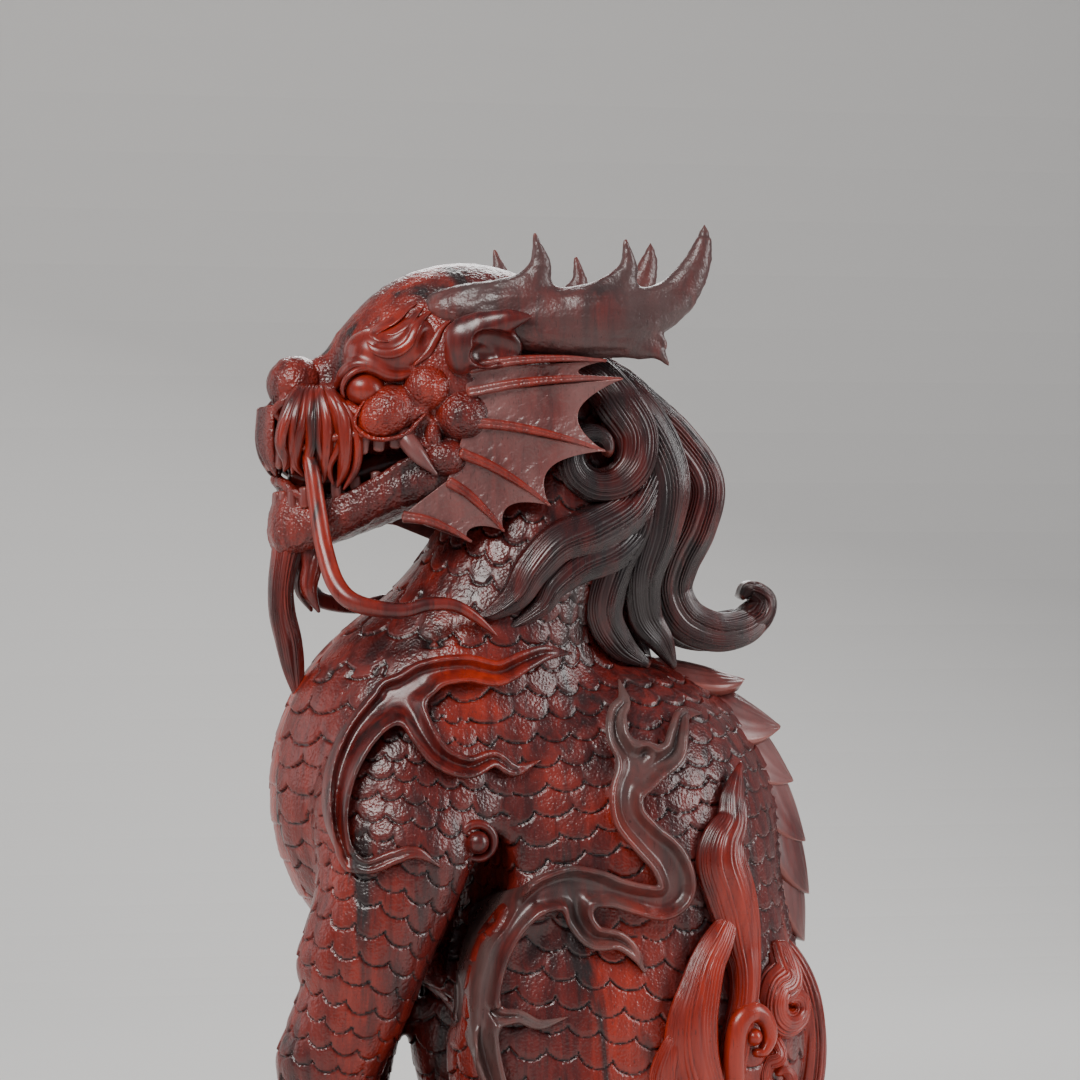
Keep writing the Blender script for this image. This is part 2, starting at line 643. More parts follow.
def scale_rows(run, girth, pitch, width, seed):
    """Overlapping tongue-shaped scales on a surface unrolled as (run, girth) in mm.

    Gives each point's height from 0 at a scale's root to 1 at its free edge, how near it is
    to a free edge from inside, and how near it is to the edge that lies over it.
    """
    reach = 2.15 * pitch
    radius = 0.56 * width
    height = np.zeros(len(run))
    rim = np.full(len(run), 9.0)
    groove = np.full(len(run), 9.0)
    settled = np.zeros(len(run), bool)
    first = np.floor(run / pitch)
    for back in (2, 1, 0):
        row = first - back
        stagger = 0.5 * np.mod(row, 2)
        column = np.round(girth / width - stagger)
        key = np.sin(row * 12.9898 + column * 78.233 + seed) * 43758.5453
        odd = key - np.floor(key) - 0.5
        a = run - row * pitch + 0.16 * pitch * odd
        c = girth - (column + stagger) * width
        past = a - (reach - radius)
        gap = np.where(past > 0, np.hypot(past, c), np.abs(c) * 0.9) - radius
        inside = (gap <= 0) & ~settled
        height = np.where(inside, a / reach + 0.35 * odd * c / width, height)
        rim = np.where(inside, -gap, rim)
        groove = np.where(~settled & (gap > 0), np.minimum(groove, gap), groove)
        settled |= inside
    return height, rim, groove


TORSO_LINE = [(5, 0, 262, 0), (3, 0, 236, 0), (-1, 0, 212, 0), (-4, 0, 187, 0), (-1, 0, 162, 0),
              (5, 0, 134, 0), (13, 0, 106, 0), (21, 0, 76, 0), (27, 0, 42, 0), (29, 0, 14, 0)]
FORELEG_LINE = [(-38, -26, 165, 0), (-43, -30, 124, 0), (-55, -31, 96, 0), (-64, -28, 68, 0),
                (-65, -27, 46, 0), (-65, -26, 14, 0)]
THIGH_LINE = [(12, -20, 128, 0), (7, -24, 100, 0), (0, -27, 64, 0), (-6, -28, 14, 0)]


def unrolled(points, line, girth_radius, rear):
    """Place along the line and round it. `rear` is the direction that counts as the back."""
    _, run, foot = path_distance(points, line)
    out = points - foot
    side = np.where(points[:, 1] > 0, 1.0, -1.0)
    across = out[:, 1] * side
    back = out @ np.array(rear, float)
    angle = np.arctan2(back, across)
    return run, angle * girth_radius, angle


TORSO_SCALES = (6.4, 8.8, 1.0)      # spacing of the rows, width of a scale, seed
LEG_SCALES = (6.0, 8.0, 2.0)
THIGH_SCALES = (7.0, 9.6, 3.0)
SCALE_RISE, CRACK_DEPTH = 0.62, 0.80
PLATE_SPACING = 9.0


def dress_body(part):
    """Carves scales, cross plates and stipple into the body's skin."""
    vertices, faces = part
    left = vertices.copy()
    left[:, 1] = -np.abs(left[:, 1])
    fore = left.copy()
    fore[:, 0] -= np.where(vertices[:, 1] > 0, set_back(vertices[:, 2]), 0)
    normals = normals_of(relaxed(vertices, faces, 6, 0.6), faces)

    torso = np.minimum.reduce([ellipsoid_distance(left, ball) for ball in (CHEST, BARREL, RUMP)])
    neck_gap = path_distance(left, [row[:4] for row in NECK])[0] - 29
    torso = np.minimum(torso, neck_gap)
    foreleg = np.minimum(ellipsoid_distance(fore, SHOULDER), path_distance(fore, FORELEG)[0] - 15.5)
    thigh = np.minimum(ellipsoid_distance(left, THIGH), path_distance(left, HIND_SHANK)[0] - 13)
    is_foreleg = (foreleg < torso) & (foreleg <= thigh)
    is_thigh = (thigh < torso) & (thigh < foreleg)

    wobble = np.stack([noise(vertices, 17, 1), noise(vertices, 17, 2)], 1)
    run, _, angle = unrolled(left, TORSO_LINE, 1.0, (0.98, 0, 0.20))
    oval = np.interp(run, [60, 110], [1.0, 1.22])
    girth = np.arctan2(np.sin(angle) / oval, np.cos(angle))
    radius = np.interp(run, [0, 30, 160, 260], [29, 31, 50, 52])
    torso_scales = scale_rows(run + 1.1 * wobble[:, 0] - 0.10 * girth * radius,
                              girth * radius + 1.0 * wobble[:, 1], *TORSO_SCALES)
    run_leg, girth_leg, _ = unrolled(fore, FORELEG_LINE, 1.0, (1, 0, 0))
    leg_radius = np.interp(run_leg, [0, 40, 80, 160], [24, 21, 16.5, 14])
    leg_scales = scale_rows(run_leg + 0.9 * wobble[:, 0], girth_leg * leg_radius + 0.8 * wobble[:, 1],
                            *LEG_SCALES)
    run_thigh, girth_thigh, _ = unrolled(left, THIGH_LINE, 26.0, (1, 0, 0.2))
    thigh_scales = scale_rows(run_thigh + 0.9 * wobble[:, 0], girth_thigh + 0.9 * wobble[:, 1],
                              *THIGH_SCALES)

    def choose(index):
        mixed = np.where(is_foreleg, leg_scales[index], torso_scales[index])
        return np.where(is_thigh, thigh_scales[index], mixed)

    height, rim, groove = (choose(index) for index in range(3))

    # Smooth cross plates down the middle of the chest, and pebbled skin beside the spine.
    front_width = 9 - 4.5 * np.clip((vertices[:, 2] - 130) / 30, 0, 1)
    front = np.clip((front_width - np.abs(vertices[:, 1])) / 1.5, 0,
                    1) * (normals[:, 0] < 0.1) * (vertices[:, 2] > 92)
    front *= ~(is_foreleg | is_thigh)
    plate = np.mod(run / PLATE_SPACING, 1.0)
    spine_width = 10 + 10 * np.clip((142 - vertices[:, 2]) / 16, 0, 1)
    spine = np.clip((spine_width - np.abs(vertices[:, 1])) / 2.0, 0,
                    1) * (normals[:, 0] > 0.1) * (vertices[:, 2] < 176)
    spine *= ~(is_foreleg | is_thigh)
    scaly = (1 - front) * (1 - spine)
    low = np.clip((vertices[:, 2] - 33) / 8, 0, 1)
    paw = np.where(is_foreleg | (is_thigh & (vertices[:, 0] < -6)), low, 1)
    scaly *= paw

    crack = np.exp(-(groove / 0.5) ** 2)
    lip = np.exp(-((rim - 0.55) / 0.5) ** 2)
    pebble = noise(vertices, 1.5, 5) + 0.7 * noise(vertices, 0.9, 6)
    lift = scaly * (SCALE_RISE * height - CRACK_DEPTH * crack + 0.03 * lip)
    lift += scaly * 0.03 * pebble * np.clip((rim - 0.9) / 0.8, 0, 1)
    lift += front * (0.5 * plate - 0.35 * np.exp(-((np.minimum(plate,
            1 - plate) * PLATE_SPACING) / 0.45) ** 2) + 0.05 * pebble)
    lift += spine * (0.30 * noise(vertices, 2.2,
                                  7) + 0.26 * pebble - 0.5 * np.exp(-((np.mod(run,
                                          13.0) - 1.0) / 0.5) ** 2))
    moved = vertices + normals * (lift - 0.4)[:, None]
    moved[:, 2] = np.maximum(moved[:, 2], SOLE - 0.3)
    stipple = np.clip(0.6 * scaly * np.clip((rim - 0.8) / 0.7, 0, 1) + 0.4 * front + spine, 0, 1)
    grooves = np.maximum(scaly * 0.95 * crack, hollowness(moved, faces) * 0.6)
    warm = 0.85 * front + 0.35 * np.clip((-normals[:, 0] - 0.5) / 0.4, 0, 1) * (vertices[:, 2] < 190)
    return (moved, faces), {"stipple": stipple, "groove": np.clip(grooves, -1, 1),
                            "warm": np.clip(warm, 0, 1)}


def make_claws(paw):
    """A hooked claw at the tip of each toe."""
    _, reach, _, height = paw
    claws = []
    for degrees in TOE_ANGLES:
        root = toe_place(paw, degrees, 0.95, 0.99)
        rows = [(*root, SOLE + 0.36 * height, 2.5, 2.3),
                (root[0] - 0.12 * reach, root[1], SOLE + 0.40 * height, 2.2, 2.1),
                (root[0] - 0.24 * reach, root[1], SOLE + 0.26 * height, 1.5, 1.4),
                (root[0] - 0.3 * reach, root[1], SOLE + 0.9, 0.4, 0.4)]
        claws.append(sweep(rows, along=24, around=20))
    return joined(claws)


def make_elbow_curl():
    """The volute at the back of the elbow: a bead in a curled rim."""
    centre = np.array([-26.4, -43.6, 126.4])
    rows = []
    for step in range(16):
        turn = math.radians(150 - 24 * step)
        radius = 5.0 - 0.06 * step
        rows.append((*(centre + (radius * math.cos(turn), 0.14 * step - 0.3, radius * math.sin(turn))),
                     1.5 - 0.04 * step, 1.8))
    bead = Clay((-34, -52, 118), (-18, -36, 135), 0.4)
    bead.ball((-26.4, -44.4, 126.4), (3.1, 3.3, 3.1))
    return joined([bead.skin(), sweep(rows, along=80, around=24)])


body_base = shape_body()
BODY_TREE = BVHTree.FromPolygons(body_base[0].tolist(), body_base[1].tolist())
body_part, body_values = dress_body(body_base)
elbow = make_elbow_curl()
body_part = joined([body_part, elbow, mirrored(elbow)])
body_values = {key: np.append(value, np.zeros(2 * len(elbow[0]))) for key, value in body_values.items()}
BODY_NODES = ["body", "chest_plates"] + [
    name + side for name in ("foreleg", "haunch", "hind_shank", "forepaw",
                             "hindpaw") for side in ("_left", "_right")
]
add_piece("body_carving", body_part, WOOD, BODY_NODES, body_values)
add_piece("foreclaws_carving_left", make_claws(FOREPAW), WOOD_POLISHED, ["foreclaws_left"])
add_piece("foreclaws_carving_right", make_claws(FOREPAW_RIGHT), WOOD_POLISHED,
          ["foreclaws_right"])
add_pair("hindclaws", make_claws(HINDPAW), WOOD_POLISHED)


# ================================================================ ribbons
def soft_min(a, b, blend):
    """The smaller of two distances, rounded off where they meet."""
    push = np.maximum(blend - np.abs(a - b), 0) / blend
    return np.minimum(a, b) - push * push * blend / 4


def stroke_field(strokes, x, z, blend):
    """A branching band in the side view.

    Gives how far each point is outside the band's edge, and the band's half-width near it.
    """
    gap_all, width_all = np.full(x.shape, 99.0), np.ones(x.shape)
    for points in strokes:
        path = spline([(px, 0, pz, width) for px, pz, width in points], 70)
        gap, width_near = np.full(x.shape, 99.0), np.ones(x.shape)
        for start, end in zip(path[:-1], path[1:]):
            leg = end - start
            share = np.clip(((x - start[0]) * leg[0] + (z - start[2]) * leg[2])
                            / (leg[0] ** 2 + leg[2] ** 2), 0, 1)
            width = start[3] + share * leg[3]
            new = np.hypot(x - start[0] - share * leg[0], z - start[2] - share * leg[2]) - width
            width_near = np.where(new < gap, width, width_near)
            gap = np.minimum(gap, new)
        width_all = np.where(gap < gap_all, width_near, width_all)
        gap_all = soft_min(gap_all, gap, blend)
    return gap_all, width_all


def side_depth(tree, x, z, start, rounds):
    """y of a left side over a grid of x and z, smoothed, and how steeply it runs away."""
    depth = np.full(x.shape, np.nan)
    for index in np.ndindex(x.shape):
        hit = tree.ray_cast(Vector((x[index], start, z[index])), Vector((0, 1, 0)))[0]
        if hit is None:
            hit = tree.find_nearest(Vector((x[index], -12, z[index])))[0]
        depth[index] = hit[1]
    for _ in range(rounds):
        padded = np.pad(depth, 1, mode="edge")
        depth = 0.2 * (padded[1:-1, 1:-1] + padded[:-2, 1:-1] + padded[2:, 1:-1] + padded[1:-1,
                :-2] + padded[1:-1, 2:])
    slope_x, slope_z = np.gradient(depth, x[1, 0] - x[0, 0])
    return depth, np.minimum(np.sqrt(1 + slope_x ** 2 + slope_z ** 2), 2.2)


def band(tree, strokes, rise=3.4, rim=1.0, dish=1.9, voxel=0.45, blend=3.0, rounds=30, undercut=0.3):
    """A flame ribbon in relief: a hollow channel between raised rims, forking without a seam.

    `strokes` are lists of (x, z, half-width) that join where they overlap.
    """
    points = np.array([point for points in strokes for point in points])
    low, high = points.min(0) - 8, points.max(0) + 8
    x, z = np.meshgrid(np.arange(low[0], high[0], voxel), np.arange(low[1], high[1], voxel),
                       indexing="ij")
    depth, slope = side_depth(tree, x, z, -90, rounds)
    gap, width = stroke_field(strokes, x, z, blend)
    inside = np.maximum(-gap, 0)
    share = np.clip(width / 3.2, 0.3, 1)
    height = rise * share + rim * share * np.exp(-((inside - 1.2) / 1.0) ** 2)
    hollow = np.clip((inside - 1.2) / 3.0, 0, 1)
    height = height - dish * hollow * hollow * (3 - 2 * hollow)
    height = height + 0.03 * np.cos(inside * 2 * np.pi / 0.85) * np.clip(inside - 1.6, 0, 1)
    near = gap < 4
    top, bottom = (depth - 2.4 * (rise + rim))[near].min(), depth[near].max() + 4
    clay = Clay((low[0], top, low[1]),
                (low[0] + voxel * (x.shape[0] - 1), bottom, low[1] + voxel * (x.shape[1] - 1)), voxel)
    y = clay.low[1] + voxel * np.arange(clay.count[1])
    out = (depth[:, None, :] - y[None, :, None]) / slope[:, None, :]
    cap = out - height[:, None, :]
    side = gap[:, None, :] + undercut * np.clip(-cap, 0, rise)
    clay.field[:x.shape[0], :, :x.shape[1]] = np.maximum(-soft_min(-cap, -side, 0.9), -out - 3)
    vertices, faces = clay.skin()
    return relaxed(vertices, faces, 1), faces


SHOULDER_RIBBON = [  # strokes of (x, z, half-width)
    [(-61, 121, 1.8), (-64, 132.5, 3.0), (-63, 143, 3.7), (-59, 152.5, 4.2), (-53, 160, 4.6),
     (-46, 165.5, 4.6), (-40, 169, 4.2)],
    [(-61.5, 123.5, 1.6), (-57, 121.0, 2.3), (-50, 123.6, 2.2), (-44, 124.6, 1.8), (-37, 120.3, 0.4)],
    [(-50, 162, 4), (-45, 166, 4.4), (-38, 171, 4.3), (-28, 172.6, 4.0), (-19.5, 171.2, 3.7),
     (-12, 174.2, 3.2), (-5, 176.4, 2.4), (4, 176, 0.4)],
    [(-48, 166, 4), (-44, 162, 4.4), (-41, 155.5, 4.0), (-36.5, 149.5, 3.7), (-29, 146.6, 3.3),
     (-21.5, 148.6, 2.6), (-15.5, 145.4, 2.0), (-8, 147.8, 0.4)],
]
HAUNCH_RIBBON = [
    [(-15, 48, 2.0), (-21.5, 60, 3.2), (-25.5, 75, 4.2), (-24.5, 91, 4.6), (-19.5, 103.5, 4.8),
     (-11.5, 111.5, 4.8), (-2, 114.6, 4.8), (6, 113.8, 4.4)],
    [(-26, 84, 1.8), (-21.5, 80.5, 2.6), (-16, 80.3, 2.1), (-10.5, 78.2, 1.6), (-3, 80, 0.4)],
    [(-9, 112.5, 4), (-1, 115, 4.8), (8, 113.4, 4.4), (17, 110.8, 4.6), (24.0, 109.8, 5.2),
     (27.6, 113.8, 5.8), (25.0, 121, 5.8), (19, 127, 5.2),
     (14.2, 133, 5.0), (14.0, 140, 4.9), (17.5, 146, 4.9), (20, 149, 4.2)],
    [(18, 144, 4), (15.0, 149.5, 3.9), (12.8, 154.5, 3.5), (13.6, 160, 2.9), (16.6, 163.5, 2.0),
     (17, 169, 0.4)],
    [(18, 143, 4), (23, 146.3, 4.2), (28.3, 149.8, 3.8), (30.6, 155, 3.2), (33.4, 159.4, 2.3),
     (40.5, 159.3, 0.4)],
    [(-8, 113.5, 3.4), (-1.5, 112, 4.4), (0.8, 105.5, 4.0), (4.5, 101.0, 3.6), (11, 100, 2.8),
     (15.5, 96.5, 2.0), (19, 90.5, 0.4)],
]
add_pair("shoulder_ribbon", band(BODY_TREE, SHOULDER_RIBBON), WOOD_POLISHED)
add_pair("haunch_ribbon", band(BODY_TREE, HAUNCH_RIBBON, rise=3.9, dish=2.3), WOOD_SMOKED)


# ================================================================ hair
def lock(rows, strands=22, depth=0.095, facing=(0, -1, 0), along=110, twist=0.35, seed=0):
    """A combed lock of hair: a swept form with fine strands cut along it."""
    phase = 1.7 * seed

    def combed(share, angle):
        wave = angle + twist * np.sin(2.2 * share + phase)
        uneven = 1.3 * np.sin(4 * wave + 1.5 * share + phase) + 0.8 * np.sin(9 * wave - 3 * share + 2
                * phase)
        sway = 1.1 * np.sin(4 * share + phase) + 0.5 * np.sin(11 * share + 2 * wave)
        fine = np.abs(np.sin(0.5 * strands * wave + uneven + sway)) ** 0.8
        strong = 0.75 + 0.45 * np.sin(6 * wave + 2.5 * share + phase)
        broad = np.sin(3 * wave + 4 * share + phase) + 0.5 * np.sin(7 * wave + 3 * share)
        fade = np.clip(np.minimum(share, 1 - share) * 14, 0.25, 1)
        factor = 1 + fade * depth * strong * (fine - 0.6) + 0.045 * broad
        return factor, factor

    around = max(48, int(strands * 6))
    return sweep(rows, facing=facing, along=along, around=around, shape=combed, ends=(0.4, 0.1))


def add_mane():
    """Locks that fall from behind the antlers down the nape and over the neck."""
    core = Clay((-14, -30, 184), (52, 30, 272), 0.8, band=4)
    core.ball((15, 0, 225), (21, 18, 31))
    core.tube([(2, 0, 255, 7, 15), (14, 0, 248, 8, 15), (28, 0, 233, 8, 14), (33, 0, 212, 7, 12),
               (29, 0, 192, 5, 9)], 4)
    add_piece("mane_core_carving", core.skin(), WOOD_DARK, ["mane_core"])

    nape = []
    for y, spread, seed in ((0, 0, 1), (-8.5, -2, 2), (8.5, 2, 3)):
        nape.append(lock(
            [(2, 0.6 * y, 258, 5, 8), (17, 0.9 * y, 251, 6.2, 9), (27, y, 242.5, 6.6, 9),
             (36.5, y, 233.5, 6.8, 8.8), (43.5, y, 222.5, 6.8, 8.5),
             (41.5, y, 211, 6.5, 8), (37, 0.9 * y, 201, 6.2, 7), (35.5, 0.8 * y, 192.5, 6, 6.5),
             (40, 0.6 * y + spread, 184.5, 6, 5.5),
             (50, 0.5 * y + spread, 181, 5.4, 5), (60, 0.4 * y, 183.5, 4.5, 4.5),
             (62, 0.3 * y, 189, 2, 2.4)],
            strands=42, seed=seed, along=150))
    knob = lock([(56, 0, 182, 4.5, 7), (62, 0, 185, 5, 7.4), (64.5, 0, 190, 3.6, 6.6),
                 (60.5, 0, 193, 2.6, 6), (57.5, 0, 190.5, 1, 4)],
                strands=35, along=60, seed=4)
    add_piece("mane_tail_carving", joined(nape + [knob]), WOOD_DARK, ["mane_tail"])

    flow = lock([(4, -15, 257, 5, 5), (15, -18, 249, 6.8, 6), (24.5, -20, 238, 7.6, 6.5),
                 (30, -20.5, 224, 7.6, 6.5), (28.5, -20, 210, 6.5, 6),
                 (24.5, -19, 197, 5.5, 5.5), (25.5, -17, 186, 5, 5), (31, -15.5, 178.5, 3.4, 4),
                 (35.5, -14, 171, 0.7, 1)], strands=46, seed=5, along=150)
    inner = lock([(14, -20, 240, 4, 4), (22, -22, 228, 5.5, 5), (22, -22, 212, 6, 5.5),
                  (16, -21, 199, 5.5, 5), (13.5, -20, 187, 5, 4.5),
                  (19, -17, 178, 4, 4), (28, -15, 172, 1, 1.5)], strands=35, seed=6, along=110)
    add_pair("mane_lock", joined([flow, inner]), WOOD_DARK)

    eye = np.array([10.0, 231.0])
    whorl_rows = [(3, -20, 257, 4, 4), (11, -22, 251.5, 5.6, 5)]
    for step in range(13):
        share = step / 12
        turn = math.radians(62 - 450 * share)
        radius = 14.5 - 12.5 * share ** 0.8
        size = 6.2 - 4.8 * share
        whorl_rows.append((eye[0] + radius * math.cos(turn), -25.5 - 3.0 * share,
                           eye[1] + radius * math.sin(turn), size, 5.4 - 2.4 * share))
    whorl = lock(whorl_rows, strands=38, seed=7, along=170, twist=0.1)
    add_pair("mane_curl", whorl, WOOD_DARK)

    upper = lock([(27, -21, 226, 5, 5), (20, -24, 215.5, 6.5, 5.5), (9, -28, 209.5, 6.5, 5.5),
                  (-1.5, -30.5, 206, 5.6, 5), (-9, -31.5, 199, 5, 4.6),
                  (-13.5, -31.5, 192, 4, 4), (-19.5, -31, 187.5, 2.2, 2.6),
                  (-25, -30.5, 185.5, 0.5, 0.8)], strands=38, seed=8, along=130)
    lower = lock([(26, -20, 212, 4.5, 4.5), (16, -24, 204.5, 5.5, 5), (5, -27, 200.5, 5.2, 5),
                  (-2.5, -28.5, 195, 4, 4.5), (-6, -29, 189.5, 3, 3.6),
                  (-12, -29.5, 185, 1.6, 2.2), (-16, -29.5, 182.5, 0.4, 0.7)], strands=35, seed=9,
                 along=110)
    add_pair("mane_side_locks", joined([upper, lower]), WOOD_DARK)


add_mane()


# ================================================================ head
def shape_skull():
    """Cranium, upper jaw, lip rims and eye sockets."""
    clay = Clay((-86, -32, 218), (20, 32, 290), 0.5)
    clay.ball((-22, 0, 253), (36, 26, 31))
    clay.tube([(-40, 0, 243, 12.5, 21), (-54, 0, 241, 11.5, 18.5), (-63, 0, 239, 9.5, 14.5),
               (-69, 0, 237, 6.8, 10)], 6)
    clay.ball((-46.5, 0, 256.5), (13.2, 15, 12), 4)
    clay.tube([(-48, 0, 257, 5, 8), (-58, 0, 254.5, 4.5, 5.5), (-67, 0, 251, 4.5, 5)], 4)
    clay.both(clay.ball, (-56, -15.5, 247.5), (7.5, 6, 5.5), 1.5, carve=True)
    lip = [(-75.5, -2, 230.5, 1.4), (-73.5, -9, 230.5, 1.4), (-68, -15.5, 232.4, 1.3),
           (-59, -19.4, 235.2, 1.2), (-51, -21.6, 236.2, 1.2), (-44, -22.6, 237.5, 1.1),
           (-41, -23, 239, 0.9)]
    clay.both(clay.tube, lip, 1.6)
    clay.ball((-56, 0, 222), (27, 15, 9.5), 1.5, carve=True)
    clay.both(clay.tube, [(-63, -13, 246, 2.2, 2), (-58, -17.5, 243.2, 2.2, 2), (-54, -20, 241, 1.8, 2)],
              1.2)
    vertices, faces = clay.skin()
    vertices = relaxed(vertices, faces, 2)
    normals = normals_of(vertices, faces)
    vertices = vertices + normals * (0.13 * noise(vertices, 2.4, 11) + 0.08 * noise(vertices, 1.1, 12))[:,
            None]
    return vertices, faces


def hammered(clay, seed, depth=0.16, rounds=1):
    """The clay's skin with the small flats that a carver's punch leaves."""
    vertices, faces = clay.skin()
    vertices = relaxed(vertices, faces, rounds)
    lift = depth * (noise(vertices, 1.7, seed) + 0.7 * noise(vertices, 0.95, seed + 1))
    return vertices + normals_of(vertices, faces) * lift[:, None], faces


def make_cheek():
    """Rounded cheek lobes that meet in creases, a rim under the front one, the mouth's corner."""
    clay = Clay((-60, -34, 216), (-12, -8, 258), 0.4)
    clay.ball((-46.6, -19.5, 241.7), (9.4, 7.4, 6.9), turn=[("Y", -36)])
    clay.ball((-35.6, -20.5, 248.6), (7.0, 7, 6.7), 0.6)
    clay.ball((-26.0, -21.5, 240.9), (8.0, 8, 7.4), 0.6)
    clay.ball((-30.6, -20.5, 229.2), (7.0, 7, 5.6), 0.6)
    clay.ball((-22, -18, 231.5), (6, 7, 6))
    clay.ball((-38.5, -19, 241), (4.5, 6, 4.5), 1)
    clay.ball((-36.4, -19, 236.2), (5.6, 6, 6.4), 0.6)
    clay.ball((-37.4, -26.5, 236.6), (4.0, 4.2, 4.8), 0.5, carve=True)
    clay.ball((-34.4, -22.6, 235.4), (2.4, 2.4, 3.6), 0.3)
    part = hammered(clay, 21, 0.10)
    rim = [(-53.0, -21.0, 245.0, 0.4), (-55.4, -21.6, 241.0, 0.5), (-55.6, -22.0, 237.6, 0.6),
           (-51.6, -23.2, 234.6, 0.65),
           (-46.6, -24.0, 234.4, 0.65), (-42.0, -24.2, 236.0, 0.65), (-39.0, -24.2, 239.0, 0.6),
           (-36.8, -24.4, 241.4, 0.4)]
    rows = [row + (0.9,) for row in rim]
    return joined([part, sweep(rows, along=90, around=16)])


BROW_FLAMES = [  # strokes of (x, z, half-width)
    [(-46.9, 260.9, 0.6), (-49.7, 261.4, 1.0), (-50.5, 263.4, 1.3), (-47.2, 265.5, 1.4),
     (-44.2, 267.2, 1.3), (-41.3, 269.8, 1.1), (-37.9, 271.8, 0.4)],
    [(-47.6, 263.0, 0.4), (-45.2, 262.9, 0.8), (-42.4, 264.6, 1.0), (-39.6, 267.4, 0.9),
     (-36.4, 270.6, 0.4)],
    [(-52.4, 260.6, 0.6), (-51.0, 258.8, 1.2), (-48.2, 257.6, 1.5), (-44.7, 257.9, 1.6),
     (-41.5, 260.2, 1.5), (-39.6, 263.9, 1.3), (-37.2, 267.2, 1.0), (-33.8, 269.8, 0.4)],
    [(-39.6, 254.6, 0.6), (-36.3, 257.6, 1.1), (-34.1, 261.3, 1.2), (-32.2, 264.6, 1.0),
     (-29.0, 267.2, 0.4)],
]


def make_brow(skull):
    """The smooth bulge over the eye, carved above with curled flames."""
    clay = Clay((-70, -32, 240), (-26, -2, 272), 0.4)
    clay.ball((-46.3, -13.5, 257.2), (11.3, 9.6, 7.9), turn=[("Y", 10)])
    clay.ball((-38.5, -17.5, 260.5), (8, 7, 7.5), 3, turn=[("Y", -40)])
    clay.tube([(-58.6, -11, 249.8, 1.4, 2.4), (-57.4, -14.8, 252.8, 1.8, 3),
               (-54.5, -18.4, 254.6, 1.9, 3), (-50, -20.2, 253.4, 1.9, 2.6),
               (-45.5, -21.6, 251.4, 1.6, 2.2), (-40.5, -22.0, 252.0, 1.0, 1.6)], 1.6)
    clay.tube([(-49.5, -23, 260.0, 1.0), (-45, -24, 260.6, 1.5), (-42, -24, 263.0, 1.5),
               (-39.5, -24, 266.5, 1.4), (-36, -23, 269.5, 0.8)], 1, carve=True)
    clay.tube([(-40.5, -25.5, 256.5, 0.8), (-37.2, -25, 260.6, 1.5), (-35.2, -24.5, 264.6, 1.5),
               (-32, -23, 268.0, 0.8)], 1, carve=True)
    bulge = clay.skin()
    bulge = relaxed(*bulge, 1), bulge[1]
    both = joined([skull, bulge])
    tree = BVHTree.FromPolygons(both[0].tolist(), both[1].tolist())
    flames = [band(tree, [stroke], rise=1.7, rim=0.3, dish=0.45, voxel=0.35, blend=0.5, rounds=40,
                   undercut=0.1) for stroke in BROW_FLAMES]
    return joined([bulge] + flames)


def make_eye():
    """The bulging eye in its lids."""
    clay = Clay((-62, -28, 238), (-42, -8, 256), 0.35)
    clay.ball((-52.4, -17.2, 247.9), (5.9, 6.0, 4.9), turn=[("Y", 12)])
    ball = clay.skin()
    lid = []
    for step in range(11):
        share = step / 10
        turn = math.radians(205 - 195 * share)
        lid.append((-52.6 + 6.3 * math.cos(turn), -18.0 - 3.0 * math.sin(math.pi * share),
                    248.0 + 5.4 * math.sin(turn),
                    0.5 + 0.4 * math.sin(math.pi * share), 1.2))
    return joined([ball, sweep(lid, along=60, around=20)])


def make_nose():
    """A hammered nose ball with curled nostril wings."""
    clay = Clay((-86, -16, 236), (-56, 16, 264), 0.4)
    clay.ball((-68.9, 0, 249.8), (8.1, 8.6, 8.0))
    clay.ball((-60.8, 0, 253), (3.4, 5, 3.4), 1)
    clay.both(clay.ball, (-70.5, -6.0, 243), (5.0, 4.4, 3.8), 1.0)
    clay.both(clay.ball, (-75.6, -6.0, 243), (2.0, 1.7, 1.6), 0.6, carve=True)
    clay.both(clay.tube,
              [(-64, -7.5, 247, 1.2), (-68, -10.2, 247.6, 1.4), (-72.5, -10.6, 245.6, 1.4),
               (-75.6, -8.6, 242.4, 1.2), (-74, -8.4, 239.6, 0.9)], 0.6)
    return hammered(clay, 31, 0.15)


def make_lip_front():
    """Leaf-shaped flews at the front of the upper lip."""
    leaves = []
    for side in (1, -1):
        leaves.append(sweep(
            [(-77.6, 3.4 * side, 243.6, 4.6, 1.5), (-77.8, 3.8 * side, 240, 4.8, 1.5),
             (-78.0, 4.4 * side, 235, 4.6, 1.5),
             (-77.2, 4.8 * side, 230.2, 3.4, 1.4), (-75.6, 4.6 * side, 226.4, 1.5, 1.1),
             (-74.8, 4.4 * side, 224.6, 0.4, 0.5)],
            facing=(-1, 0.35 * side, 0.1), along=70, around=48, ends=(0.8, 0.05),
            shape=lambda share,
            angle: (1, 1 - 0.45 * np.exp(-(np.cos(angle) / 0.5) ** 2) * (np.sin(angle) > 0))))
    leaves.append(sweep([(-72, 0, 243, 3, 3), (-75, 0, 238, 3.4, 3), (-75.4, 0, 232, 2.8, 2.6),
                         (-74, 0, 227.5, 0.6, 0.8)], along=40, around=30))
    return joined(leaves)


